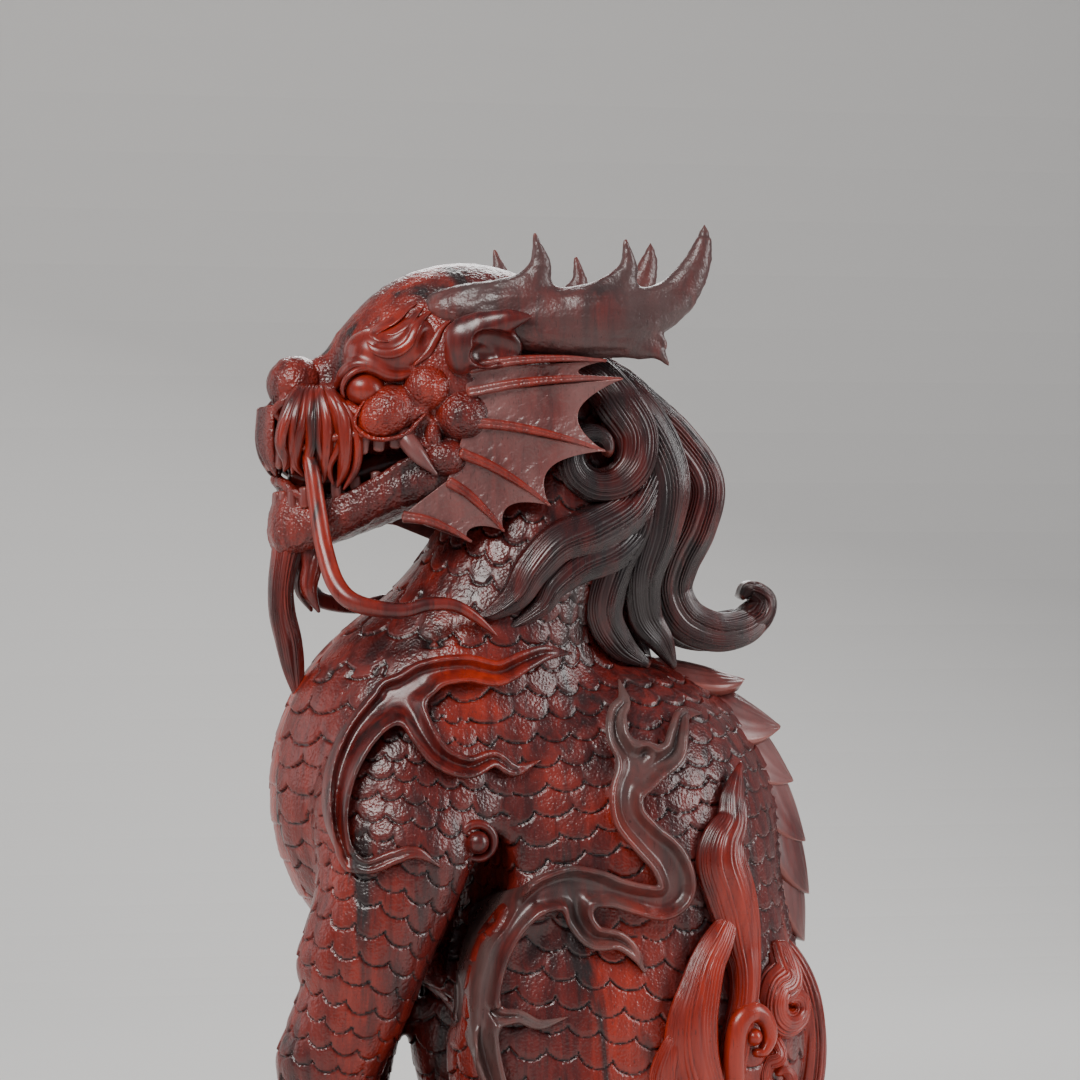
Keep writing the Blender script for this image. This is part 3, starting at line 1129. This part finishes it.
JAW_SIDE = [(-25, -18.5, 226, 5.2, 4.5), (-32, -19, 225, 6.4, 4.4), (-40, -18.2, 222.4, 5.7, 4.2),
            (-48.5, -16.2, 218.8, 4.6, 4),
            (-57, -13.4, 213.9, 4.7, 4), (-65, -9.6, 211, 6.0, 4), (-72, -4.5, 211.5, 8.0, 3.4)]
JAW_LIP = [(-35, -21.6, 230.6, 1.0), (-40, -21.4, 229.0, 1.3), (-48.5, -18.8, 223.6, 1.35),
           (-57, -15.6, 218.8, 1.35), (-63.5, -12.4, 217.2, 1.35),
           (-69.5, -9.0, 219.6, 1.4), (-73.0, -5.0, 222.6, 1.5), (-74.2, 0, 223.6, 1.5)]


def make_lower_jaw():
    """The lower jaw: a trough with a rolled lip, a stippled underside and a heavy chin."""
    clay = Clay((-86, -32, 194), (-10, 32, 236), 0.5)
    clay.tube([(-24, 0, 224, 7.6, 20), (-36, 0, 221.5, 7, 19.4), (-48, 0, 216.6, 6.4, 17),
               (-60, 0, 212, 6.2, 13.6), (-70, 0, 209, 6.4, 9)])
    clay.both(clay.tube, JAW_SIDE, 3)
    clay.ball((-68.6, 0, 214), (7.0, 9.4, 9.5), 3)
    clay.ball((-50, 0, 229), (26, 13.5, 10.5), 1.5, carve=True)
    clay.both(clay.tube, JAW_LIP, 1.2)
    return hammered(clay, 41, 0.15)


def make_tongue():
    """A flat tongue with a groove down its middle."""
    return sweep([(-30, 0, 231, 6, 11), (-42, 0, 228.5, 5.8, 11.5), (-54, 0, 225, 5, 10.5),
                  (-64, 0, 223.6, 4.4, 8), (-71, 0, 225, 2.4, 4.6)],
                 along=70, around=56,
                 shape=lambda share,
                 angle: (1 - 0.5 * np.exp(-(np.sin(angle) / 0.22) ** 2) * (np.cos(angle) < 0), 1))


def tooth(root, tip, width, thick, facing):
    """A blunt carved tooth, a little narrower at its tip, with its broad side towards `facing`."""
    middle = tuple(0.5 * (a + b) for a, b in zip(root, tip))
    rows = [(*root, width, thick), (*middle, width, thick), (*tip, 0.86 * width, 0.7 * thick)]
    return sweep(rows, facing=facing, along=14, around=20, ends=(0.9, 0.5),
                 shape=lambda share,
                 angle: (0.98 * (np.abs(np.cos(angle)) + 1e-6) ** -0.25,
                         0.98 * (np.abs(np.sin(angle)) + 1e-6) ** -0.25))


def tooth_row(front, depth, half_width, count, root, tip, width):
    """Teeth along a horseshoe, both sides. `root` and `tip` give their heights at x."""
    teeth = []
    for index in range(count):
        turn = math.pi / 2 * (index + 0.5) / count
        x, y = front + depth * (1 - math.cos(turn)), -half_width * math.sin(turn) ** 0.85
        for side in (1, -1):
            facing = (-math.cos(turn), -side * math.sin(turn), 0)
            teeth.append(tooth((x, side * y, root(x)), (x - 0.4, side * y * 0.99, tip(x)), width, 1.25,
                               facing))
    return joined(teeth)


def make_fangs():
    """The hooked fang at each corner of the mouth."""
    fang = sweep([(-42.6, -20.5, 237, 2.5, 2.4), (-41.4, -23, 233.6, 2.6, 2.5),
                  (-38.4, -24.6, 229.4, 2.1, 2.0), (-33.8, -25.2, 224.6, 0.3, 0.3)], along=50, around=30)
    return joined([fang, mirrored(fang)])


def make_moustache():
    """Locks that spring from beside the nose and pour over the upper lip."""
    locks = []
    for index in range(9):
        s = index / 8
        sway = 1.1 * math.sin(2.4 * index)
        curl = 1.3 * math.sin(1.7 * index + 1)
        size = 1 + 0.25 * math.sin(2.9 * index + 0.5) + 0.25 * (s > 0.8)
        rows = [(-68 + 6.5 * s, -8 - 3.4 * s, 249.0 - 1.0 * s, 1.1, 1.4),
                (-70.8 + 11 * s, -12.6 - 3.6 * s, 246.2 - 1.0 * s, 1.5 * size, 1.9 * size),
                (-73.6 + 17 * s, -15.2 - 4 * s, 240 + 0.5 * sway, 1.65 * size, 2.1 * size),
                (-75.0 + 20 * s + 0.6 * sway, -14.8 - 5.0 * s, 233.5, 1.5 * size, 1.9 * size),
                (-74.4 + 18 * s + curl, -13.0 - 5.6 * s, 228.5 - 2.0 * s, 1.2 * size, 1.5 * size),
                (-73.2 + 15.5 * s - 0.6 * curl, -11.6 - 5.6 * s, 225.5 - 5.0 * s, 0.3, 0.4)]
        locks.append(lock(rows, strands=9, along=80, depth=0.12, seed=index, facing=(0, -1, 0.1)))
    return joined(locks)


WHISKER = [(-68, -14, 231, 1.8, 1.8), (-66.9, -17, 226, 2.2, 2.2), (-65.7, -20, 215, 2.4, 2.3),
           (-64.4, -24, 204.3, 2.5, 2.4),
           (-62.0, -29, 195, 2.6, 2.5), (-57, -32.6, 190, 2.5, 2.4), (-46, -33.8, 188.0, 2.2, 2.1),
           (-38, -34, 189.6, 2.0, 2.0),
           (-31, -34, 189.4, 1.8, 1.8), (-25, -34, 186.2, 1.4, 1.4), (-18.9, -34.4, 181.0, 0.3, 0.4)]


def make_whisker():
    """The long whisker, ridged along its outer face."""

    def ridged(share, angle):
        keel = 0.16 * np.exp(-((np.sin(angle) - 0.2) / 0.18) ** 2)
        return 1 - keel * 0.6, 1 - keel

    return sweep(WHISKER, along=220, around=36, shape=ridged)


def make_beard():
    """The long chin tuft that swings forward and back, with two short locks behind it."""
    tufts = [lock([(-69, 0, 213, 5.5, 8), (-71.4, 0, 204, 4.0, 6.4), (-73, 0, 195, 3.4, 5.2),
                   (-72.8, 0, 187, 3.5, 4.6), (-71, 0, 179, 3.6, 4.4),
                   (-69.8, 0, 172, 3.0, 3.6), (-68.6, 0, 166, 1.8, 2.2), (-67.4, 0, 160.5, 0.4, 0.5)],
                  strands=26, seed=2, depth=0.11, along=130)]
    for side in (-1, 1):
        tufts.append(lock([(-66, 3.5 * side, 210, 3.4, 3.4), (-65.2, 5.5 * side, 201, 2.8, 3),
                           (-66.0, 6.5 * side, 193.5, 2.2, 2.4), (-63.4, 7 * side, 187, 0.4, 0.5)],
                          strands=10, seed=3, depth=0.11))
    return joined(tufts)


def make_ear():
    """A curled leaf of an ear, open below and pointed behind."""
    clay = Clay((-38, -42, 246), (-2, -14, 276), 0.35)
    clay.ball((-21.5, -28, 260.8), (10.8, 5.4, 7.6), turn=[("Y", 10)])
    clay.ball((-27.5, -26, 258), (4.6, 5, 6.4), 2)
    clay.tube([(-22, -30, 264.4, 4.4, 3.4), (-15.5, -32.5, 266.4, 3, 2.6),
               (-9.6, -34.4, 267.4, 0.4, 0.4)], 2)
    clay.ball((-17.6, -33, 258.6), (8.4, 4.6, 4.7), 0.5, carve=True, turn=[("Y", 20)])
    clay.ball((-21.5, -31.5, 257.2), (4.6, 4.2, 3.6), 0.6, carve=True)
    vertices, faces = clay.skin()
    return relaxed(vertices, faces, 1), faces


ANTLER = [(-30, -17, 270, 6, 6), (-20, -21.5, 269.6, 8.2, 6.6), (-8, -26, 267.2, 9.2, 6.4),
          (4, -29, 265.8, 9.4, 6),
          (14, -30.5, 266, 8.8, 5.6), (23, -31, 268.6, 7.2, 5), (31, -31, 273.4, 5.6, 4.2),
          (36.4, -31, 280.6, 4.2, 3.3), (39, -31, 288, 2.5, 2.2), (39.4, -31, 293, 0.6, 0.6)]


def make_antler():
    """A thick swept-back beam with two tines up, a spur down and an upturned tip."""
    clay = Clay((-40, -42, 248), (46, -8, 298), 0.45)
    clay.tube(ANTLER, segments=40)
    clay.tube([(-15, -25, 271, 6, 4.4), (-8.8, -26.4, 276, 4.6, 3.4), (-5.8, -27.4, 282, 3.0, 2.5),
               (-7.4, -28, 290, 0.6, 0.6)], 4.5, segments=16)
    clay.tube([(7, -29.5, 269.5, 6, 4.4), (14, -30, 275, 4.4, 3.4), (18, -30.6, 281, 2.8, 2.4),
               (17.2, -31, 288.6, 0.6, 0.6)], 4.5, segments=16)
    clay.tube([(12, -30.5, 263, 4.4, 3.4), (20, -31.5, 259.4, 3.2, 2.6), (25.4, -32.4, 258.4, 2, 1.8),
               (28.9, -33, 254.6, 0.4, 0.4)], 2.5, segments=16)
    clay.tube([(22, -31.5, 262.5, 2, 2), (26.5, -32.4, 262, 1.2, 1.2), (28, -33, 259.6, 0.4, 0.4)], 1.5,
              segments=12)
    vertices, faces = clay.skin()
    vertices = relaxed(vertices, faces, 2)
    stretched = vertices * (0.22, 1, 1)
    lift = 0.28 * noise(stretched, 2.6, 51) + 0.12 * noise(stretched, 1.1, 52) + 0.07 * noise(vertices,
            1.3, 53)
    return vertices + normals_of(vertices, faces) * lift[:, None], faces


# ================================================================ frill
RIB_ROOTS = [(-26, 253.5), (-26, 246.9), (-26, 239), (-28, 230.8), (-31, 223), (-43, 213.4)]
RIB_TIPS = [(11, 255.5), (15.2, 250.6), (10.6, 231), (-3.9, 216.2), (-16, 209.2), (-24.5, 206.4)]


WEB_STEPS, WEB_ACROSS = 90, 56
RIB_STEPS, RIB_AROUND = 70, 36


def frill_depth(x):
    """The fan stands further out towards its rim."""
    return np.interp(x, [-45, -22, 14], [-21, -27, -36.5])


def make_frill():
    """A thin hollowed web between ribs, scalloped at its rim."""
    parts = []
    u, v = np.meshgrid(np.linspace(0, 1, WEB_STEPS), np.linspace(0, 1, WEB_ACROSS), indexing="ij")
    for (root_a, tip_a), (root_b, tip_b) in zip(zip(RIB_ROOTS, RIB_TIPS),
                                                zip(RIB_ROOTS[1:], RIB_TIPS[1:])):
        hump = 4 * v * (1 - v)
        out = u * (1 - 0.24 * hump ** 0.8)
        web = []
        for axis in range(2):
            first = root_a[axis] + (tip_a[axis] - root_a[axis]) * out
            second = root_b[axis] + (tip_b[axis] - root_b[axis]) * out
            web.append(first + (second - first) * v)
        x, z = web
        flat = np.stack([0.5 * x.ravel() + 0.5 * z.ravel(), 1.1 * z.ravel() - 1.1 * x.ravel(),
                         0 * x.ravel()], 1)
        ripple = (0.13 * noise(flat, 1.9, 61) + 0.04 * noise(flat, 0.9, 62)).reshape(x.shape)
        curl = 1.2 * out ** 6
        y = frill_depth(x) + 1.5 * hump ** 0.7 * (0.3 + 0.7 * out) + ripple - curl
        thickness = 1.5 - 0.9 * u
        front = np.stack([x, y, z], -1)
        back = np.stack([x, y + thickness, z], -1)
        ring = np.concatenate([front, back[:, ::-1]], axis=1).reshape(-1, 3)
        parts.append(closed_ring(ring, WEB_STEPS, 2 * WEB_ACROSS))
    for (x0, z0), (x1, z1) in zip(RIB_ROOTS, RIB_TIPS):
        places = []
        for share in (0.0, 0.35, 0.7, 1.0):
            x, z = x0 + share * (x1 - x0), z0 + share * (z1 - z0) + 1.6 * math.sin(math.pi * share)
            places.append((x, frill_depth(x) - 0.4, z, 1.6 - 1.2 * share ** 1.5,
                           1.5 - 1.1 * share ** 1.5))
        parts.append(sweep(places, along=RIB_STEPS, around=RIB_AROUND, shape=lambda share, angle: (
            1, 1 - 0.3 * np.exp(-(np.cos(angle) / 0.25) ** 2) * (np.sin(angle) > 0))))
    return joined(parts)


def closed_ring(vertices, rows, columns):
    """A solid from rings of vertices: sides from ring to ring and an end at each side.

    Each ring is a front row of vertices and a back row in the other direction.
    """
    half = columns // 2
    j = np.arange(half - 1)
    base = (rows - 1) * columns
    start = np.stack([j, columns - 1 - j, columns - 2 - j, j + 1], 1)
    end = np.stack([base + j, base + j + 1, base + columns - 2 - j, base + columns - 1 - j], 1)
    faces = np.vstack([grid_faces(rows, columns), start, end])
    return vertices, facing_out(vertices, faces)


# ================================================================ scutes, tail and rump curls
SCUTES = [  # root (x, z), tip (x, z), half-width, droop to the sides
    ((24, 173.5), (58.8, 166.4), 11.0, 0.048),
    ((42, 169.0), (69.0, 153.2), 14.0, 0.064),
    ((55, 161.5), (72.4, 138.0), 14.4, 0.064),
    ((64, 149.5), (75.8, 121.0), 14.2, 0.064),
    ((69.5, 136), (76.8, 106.2), 13.4, 0.064),
    ((72, 121), (75.4, 92.8), 11.5, 0.066),
]


def make_scute(root, tip, half_width, droop, index):
    """One roof-shaped leaf of the spine: straight-sided, pointed and thick at its tip, combed along."""
    steps, across = 44, 51
    u, v = np.meshgrid(np.linspace(0, 1, steps), np.linspace(-1, 1, across), indexing="ij")
    start = np.array([root[0], 0, root[1]], float)
    along = np.array([tip[0] - root[0], 0, tip[1] - root[1]], float)
    length = np.linalg.norm(along)
    along /= length
    up = np.array([-along[2], 0, along[0]])
    taper = np.clip((u - 0.45) / 0.55, 0, 1)
    y = v * half_width * np.sqrt(np.clip(1 - 0.99 * taper ** 2.2, 0, 1))
    lines = 0.11 * np.sin(v * 34 + 2 * np.sin(3 * u + index)) + 0.07 * np.sin(v * 71 + index + 1.5
            * np.sin(2 * u))
    top = 1.2 - droop * y ** 2 + 1.5 * np.sin(np.pi * u) + lines * (1 - np.abs(v) ** 8)
    thickness = 3.4 - 0.4 * u
    base = start + along * (u[..., None] * length) + np.array([0, 1, 0]) * y[..., None]
    front = base + up * top[..., None]
    back = base - along * (1.2 * u)[..., None] + up * (top - thickness)[..., None]
    ring = np.concatenate([front, back[:, ::-1]], axis=1).reshape(-1, 3)
    return closed_ring(ring, steps, 2 * across)


def spiral(centre, start_radius, end_radius, start, turns, y, size, lean=2.0, tilt=0.0, count=14):
    """Rows of a curl in the side view that winds in as it rises towards the left.

    `tilt` is how fast its plane turns in behind the rump.
    """
    rows = []
    for step in range(count):
        share = step / (count - 1)
        turn = math.radians(start + 360 * turns * share)
        radius = start_radius + (end_radius - start_radius) * share ** 0.85
        width = size * (1 - 0.72 * share)
        reach = radius * math.cos(turn)
        rows.append((centre[0] + reach, y - lean * share + tilt * reach,
                     centre[1] + radius * math.sin(turn), width, 0.85 * width))
    return rows


TAIL_LOCKS = [  # rows of (x, y, z, half-width, half-thickness) from root to tip, and strands
    ([(52, -20, 24, 5, 4), (46, -33, 34, 6, 5), (42, -40.5, 48, 5, 4.5), (43, -43, 61, 4.4, 4.2),
      (45, -43.5, 72, 4.2, 4.2),
      (47.4, -42.5, 82, 4.0, 4.2), (48, -41.5, 90, 4.4, 4.4), (47.2, -40.6, 97, 5.6, 4.6),
      (45.8, -41, 104.5, 6.4, 4.8), (43.6, -42, 112, 7, 4.8),
      (41.2, -42.6, 119.5, 7, 4.6), (41.8, -42, 125.5, 5.8, 4.2), (45, -39.5, 131, 4.2, 3.6),
      (45.8, -37.4, 137.4, 3.2, 2.8), (49.2, -33, 146.5, 0.4, 0.6)], 30),
    ([(50, -22, 26, 6, 5), (44, -35, 36, 8, 5), (37, -42.5, 48, 8.6, 5), (33.2, -46, 60, 8.2, 5),
      (31.6, -47.8, 69, 7.6, 4.8),
      (32, -48.2, 78, 6.8, 4.6), (34.2, -47.4, 86.2, 5.7, 4.4), (36.6, -46, 93, 4.9, 4.2),
      (40.6, -43.8, 99.6, 4.0, 3.8), (45.5, -40.6, 107.5, 1.2, 1.6)], 34),
    ([(36, -40, 40, 5, 4), (28, -44.5, 50, 5.5, 4), (24.5, -47, 61, 4.6, 3.6), (26, -48.4, 71, 3, 3),
      (30, -48.6, 80, 0.5, 0.8)], 20),
]


def make_tail():
    """A combed flame up the left haunch, and whorls at its root."""
    parts = [lock(rows, strands=strands, seed=index, along=190, depth=0.10, twist=0.5) for index,
             (rows, strands) in enumerate(TAIL_LOCKS)]
    flows = [
        [(56, -8, 100, 4, 5), (65, -10, 92, 5, 6), (70.5, -11, 82, 5.5, 7), (73, -10, 70, 5.6, 8),
         (73, -8, 56, 5.6, 8), (69.5, -5, 42, 5.5, 8), (63, 0, 28, 4, 6)],
        [(60, -26, 96, 3.6, 4)] + spiral((63.6, 79), 8.0, 1.4, 105, 1.15, -28.5, 6.0, lean=3.4, tilt=0.8),
        [(56, -30, 72, 3, 4)] + spiral((59.5, 60), 6.0, 1.0, 100, 1.15, -35, 3.6, lean=2.6),
        [(52, -34, 50, 4, 4)] + spiral((54, 41), 8, 1.5, 110, -1.2, -33, 4.4),
    ]
    parts += [lock(rows, strands=26, seed=10 + index, facing=(0.45, -0.89, 0), along=170, depth=0.12,
                   twist=0.1) for index, rows in enumerate(flows)]
    hook = [(44.0, -45.6, 60, 3.0, 2.4), (43.6, -46.8, 69, 3.0, 2.8), (45.2, -46.8, 76.6, 3.0, 2.8),
            (49.2, -45.6, 79.4, 2.8, 2.8),
            (53.0, -44.2, 77.0, 2.5, 2.6), (54.4, -43.6, 72.4, 2.1, 2.4), (52.4, -44.2, 68.6, 1.7, 2.1),
            (49.4, -45.0, 68.2, 1.1, 1.7)]
    bead = Clay((43, -52, 65), (56, -38, 79), 0.4)
    bead.ball((49.4, -45.2, 72.6), (2.5, 3.0, 2.5))
    return joined(parts + [sweep(hook, along=90, around=28), bead.skin()])


# ================================================================ plinth
PLINTH_LENGTH, PLINTH_WIDTH, PLINTH_CORNER = 198.0, 128.0, 42.0
PLINTH_PROFILE = [  # inset from the outline, height
    (12, 0), (1.6, 0), (0.5, 0.4), (0, 1.5), (0, 6.2), (0.5, 7.5), (1.8, 8.0), (3.2, 8.2), (4.6, 9.0),
                  (5.6, 10.4), (6.0, 11.6), (5.2, 12.8),
    (3.6, 13.5), (2.6, 14.2), (2.0, 15.2), (2.0, 19.4), (2.5, 20.5), (3.6, 21.0), (12, 21.0),
]


def make_plinth():
    """A moulded base, swept round a round-cornered outline, with a gently hollowed waist."""
    outline = []
    for quarter, (cx, cy) in enumerate(((1, 1), (-1, 1), (-1, -1), (1, -1))):
        x = cx * (PLINTH_LENGTH / 2 - PLINTH_CORNER)
        y = cy * (PLINTH_WIDTH / 2 - PLINTH_CORNER)
        for step in range(30):
            turn = math.radians(90 * quarter + 90 * step / 29)
            outline.append((x, y, math.cos(turn), math.sin(turn)))
    x, y, nx, ny = np.array(outline).T
    profile = spline([(inset, 0, height) for inset, height in PLINTH_PROFILE], 80, span_steps=12)
    rings = []
    for inset, _, height in profile:
        radius = PLINTH_CORNER - inset
        rings.append(np.stack([x + radius * nx, y + radius * ny,
                               np.full(len(x), min(max(height, 0), SOLE))], 1))
    vertices, faces = with_caps(np.vstack(rings), len(rings), len(x))
    return vertices, facing_out(vertices, faces)


# ================================================================ assembly of the head and trim
def flat_value(part, value):
    """How deeply the whole part is stippled."""
    return {"stipple": np.full(len(part[0]), value)}


skull_part = shape_skull()
add_piece("skull_carving", skull_part, WOOD, ["skull"], flat_value(skull_part, 1.0))
cheek_part = make_cheek()
add_pair("cheek", cheek_part, WOOD, flat_value(cheek_part, 1.6))
add_pair("brow", make_brow(skull_part), WOOD_WARM)
add_pair("eye", make_eye(), WOOD_WARM)
nose_part = joined([make_nose(), make_lip_front()])
add_piece("nose_carving", nose_part, WOOD, ["nose"], flat_value(nose_part, 1.2))
jaw_part = make_lower_jaw()
add_piece("lower_jaw_carving", jaw_part, WOOD, ["lower_jaw"], flat_value(jaw_part, 1.4))
add_piece("tongue_carving", make_tongue(), WOOD_WARM, ["tongue"])
add_piece("upper_teeth_carving",
          tooth_row(-76, 34, 20.2, 12, lambda x: 237.5, lambda x: 229.3 + 0.18 * (x + 58), 1.72),
          WOOD_PALE, ["upper_teeth"])
add_piece("lower_teeth_carving",
          tooth_row(-74, 34, 16.5, 9, lambda x: 214.5 + 0.25 * (x + 73),
                    lambda x: 220.5 + 0.22 * (x + 73), 1.6), WOOD_PALE, ["lower_teeth"])
add_piece("fangs_carving", make_fangs(), WOOD_PALE, ["fangs"])
add_pair("moustache", make_moustache(), WOOD_POLISHED)
add_pair("whisker", make_whisker(), WOOD_POLISHED)
add_piece("beard_carving", make_beard(), WOOD_WARM, ["beard"])
add_pair("ear", make_ear(), WOOD_WARM)
antler_part = make_antler()
add_pair("antler", antler_part, WOOD_HORN, flat_value(antler_part, 0.4))
frill_part = make_frill()
first_rib_point = len(frill_part[0]) - len(RIB_ROOTS) * (RIB_STEPS * RIB_AROUND + 2)
add_pair("frill", frill_part, WOOD_PALE,
         {**flat_value(frill_part, 0.5),
          "warm": 0.45 * (np.arange(len(frill_part[0])) >= first_rib_point)})
scutes = [make_scute(*scute, index) for index, scute in enumerate(SCUTES)]
add_piece("dorsal_scutes_carving", joined(scutes), WOOD_PALE, ["dorsal_scutes"])
add_piece("tail_carving", make_tail(), WOOD_FLAME, ["tail"])
add_piece("plinth_carving", make_plinth(), WOOD_POLISHED, ["plinth"])


# ================================================================ stage, light and camera
def add_stage():
    """A plain pale floor that curves up behind the figure."""
    floor_mesh = bpy.data.meshes.new("floor")
    size, rise, depth = 2.4, 2.2, 1.1
    profile = [(-size, 0.0)] + [
        (depth - 0.5 + 0.5 * math.sin(turn), 0.5 - 0.5 * math.cos(turn)) for turn in np.linspace(0,
                math.pi / 2, 24)
    ] + [(depth, rise)]
    vertices = [(x, y, z) for y, z in profile for x in (-size, size)]
    faces = [(2 * k, 2 * k + 1, 2 * k + 3, 2 * k + 2) for k in range(len(profile) - 1)]
    floor_mesh.from_pydata(vertices, [], faces)
    floor = bpy.data.objects.new("floor", floor_mesh)
    bpy.context.scene.collection.objects.link(floor)
    paper = bpy.data.materials.new("studio_paper")
    paper.use_nodes = True
    paper.node_tree.nodes["Principled BSDF"].inputs["Base Color"].default_value = (0.72, 0.71, 0.69, 1)
    paper.node_tree.nodes["Principled BSDF"].inputs["Roughness"].default_value = 0.85
    floor_mesh.materials.append(paper)


def add_light(name, place, target, size, power, colour=(1, 1, 1)):
    """A soft rectangular light. `place`, `target` and `size` are in metres, `power` in watts."""
    light = bpy.data.lights.new(name, "AREA")
    light.shape = "RECTANGLE"
    light.size, light.size_y = size
    light.energy = power
    light.color = colour
    lamp = bpy.data.objects.new(name, light)
    lamp.location = place
    lamp.rotation_euler = (Vector(target) - Vector(place)).to_track_quat("-Z", "Y").to_euler()
    bpy.context.scene.collection.objects.link(lamp)


def add_camera():
    """The camera, level with the shoulders and a little ahead of square to the left side."""
    camera = bpy.data.cameras.new("camera")
    camera.sensor_width = 36
    camera.lens = 119.05
    seat = bpy.data.objects.new("camera", camera)
    seat.location = (-0.2079, -0.9781, 0.207)
    seat.rotation_euler = (Vector((0, 0, 0.207)) - seat.location).to_track_quat("-Z", "Y").to_euler()
    bpy.context.scene.collection.objects.link(seat)
    bpy.context.scene.camera = seat


add_stage()
FIGURE = (0, 0, 0.19)
add_light("key", (-0.55, -0.55, 0.85), FIGURE, (0.45, 0.45), 9.0, (1.0, 0.97, 0.94))
add_light("side", (0.75, -0.35, 0.45), FIGURE, (0.3, 0.6), 4.6, (1.0, 0.98, 0.97))
add_light("back", (0.25, 0.7, 0.7), FIGURE, (0.6, 0.35), 4.6)
add_light("fill", (-0.9, 0.3, 0.4), FIGURE, (0.6, 0.6), 1.3)
world = bpy.data.worlds.new("studio")
world.use_nodes = True
world.node_tree.nodes["Background"].inputs["Color"].default_value = (0.9, 0.92, 1.0, 1)
world.node_tree.nodes["Background"].inputs["Strength"].default_value = 0.25
bpy.context.scene.world = world
add_camera()
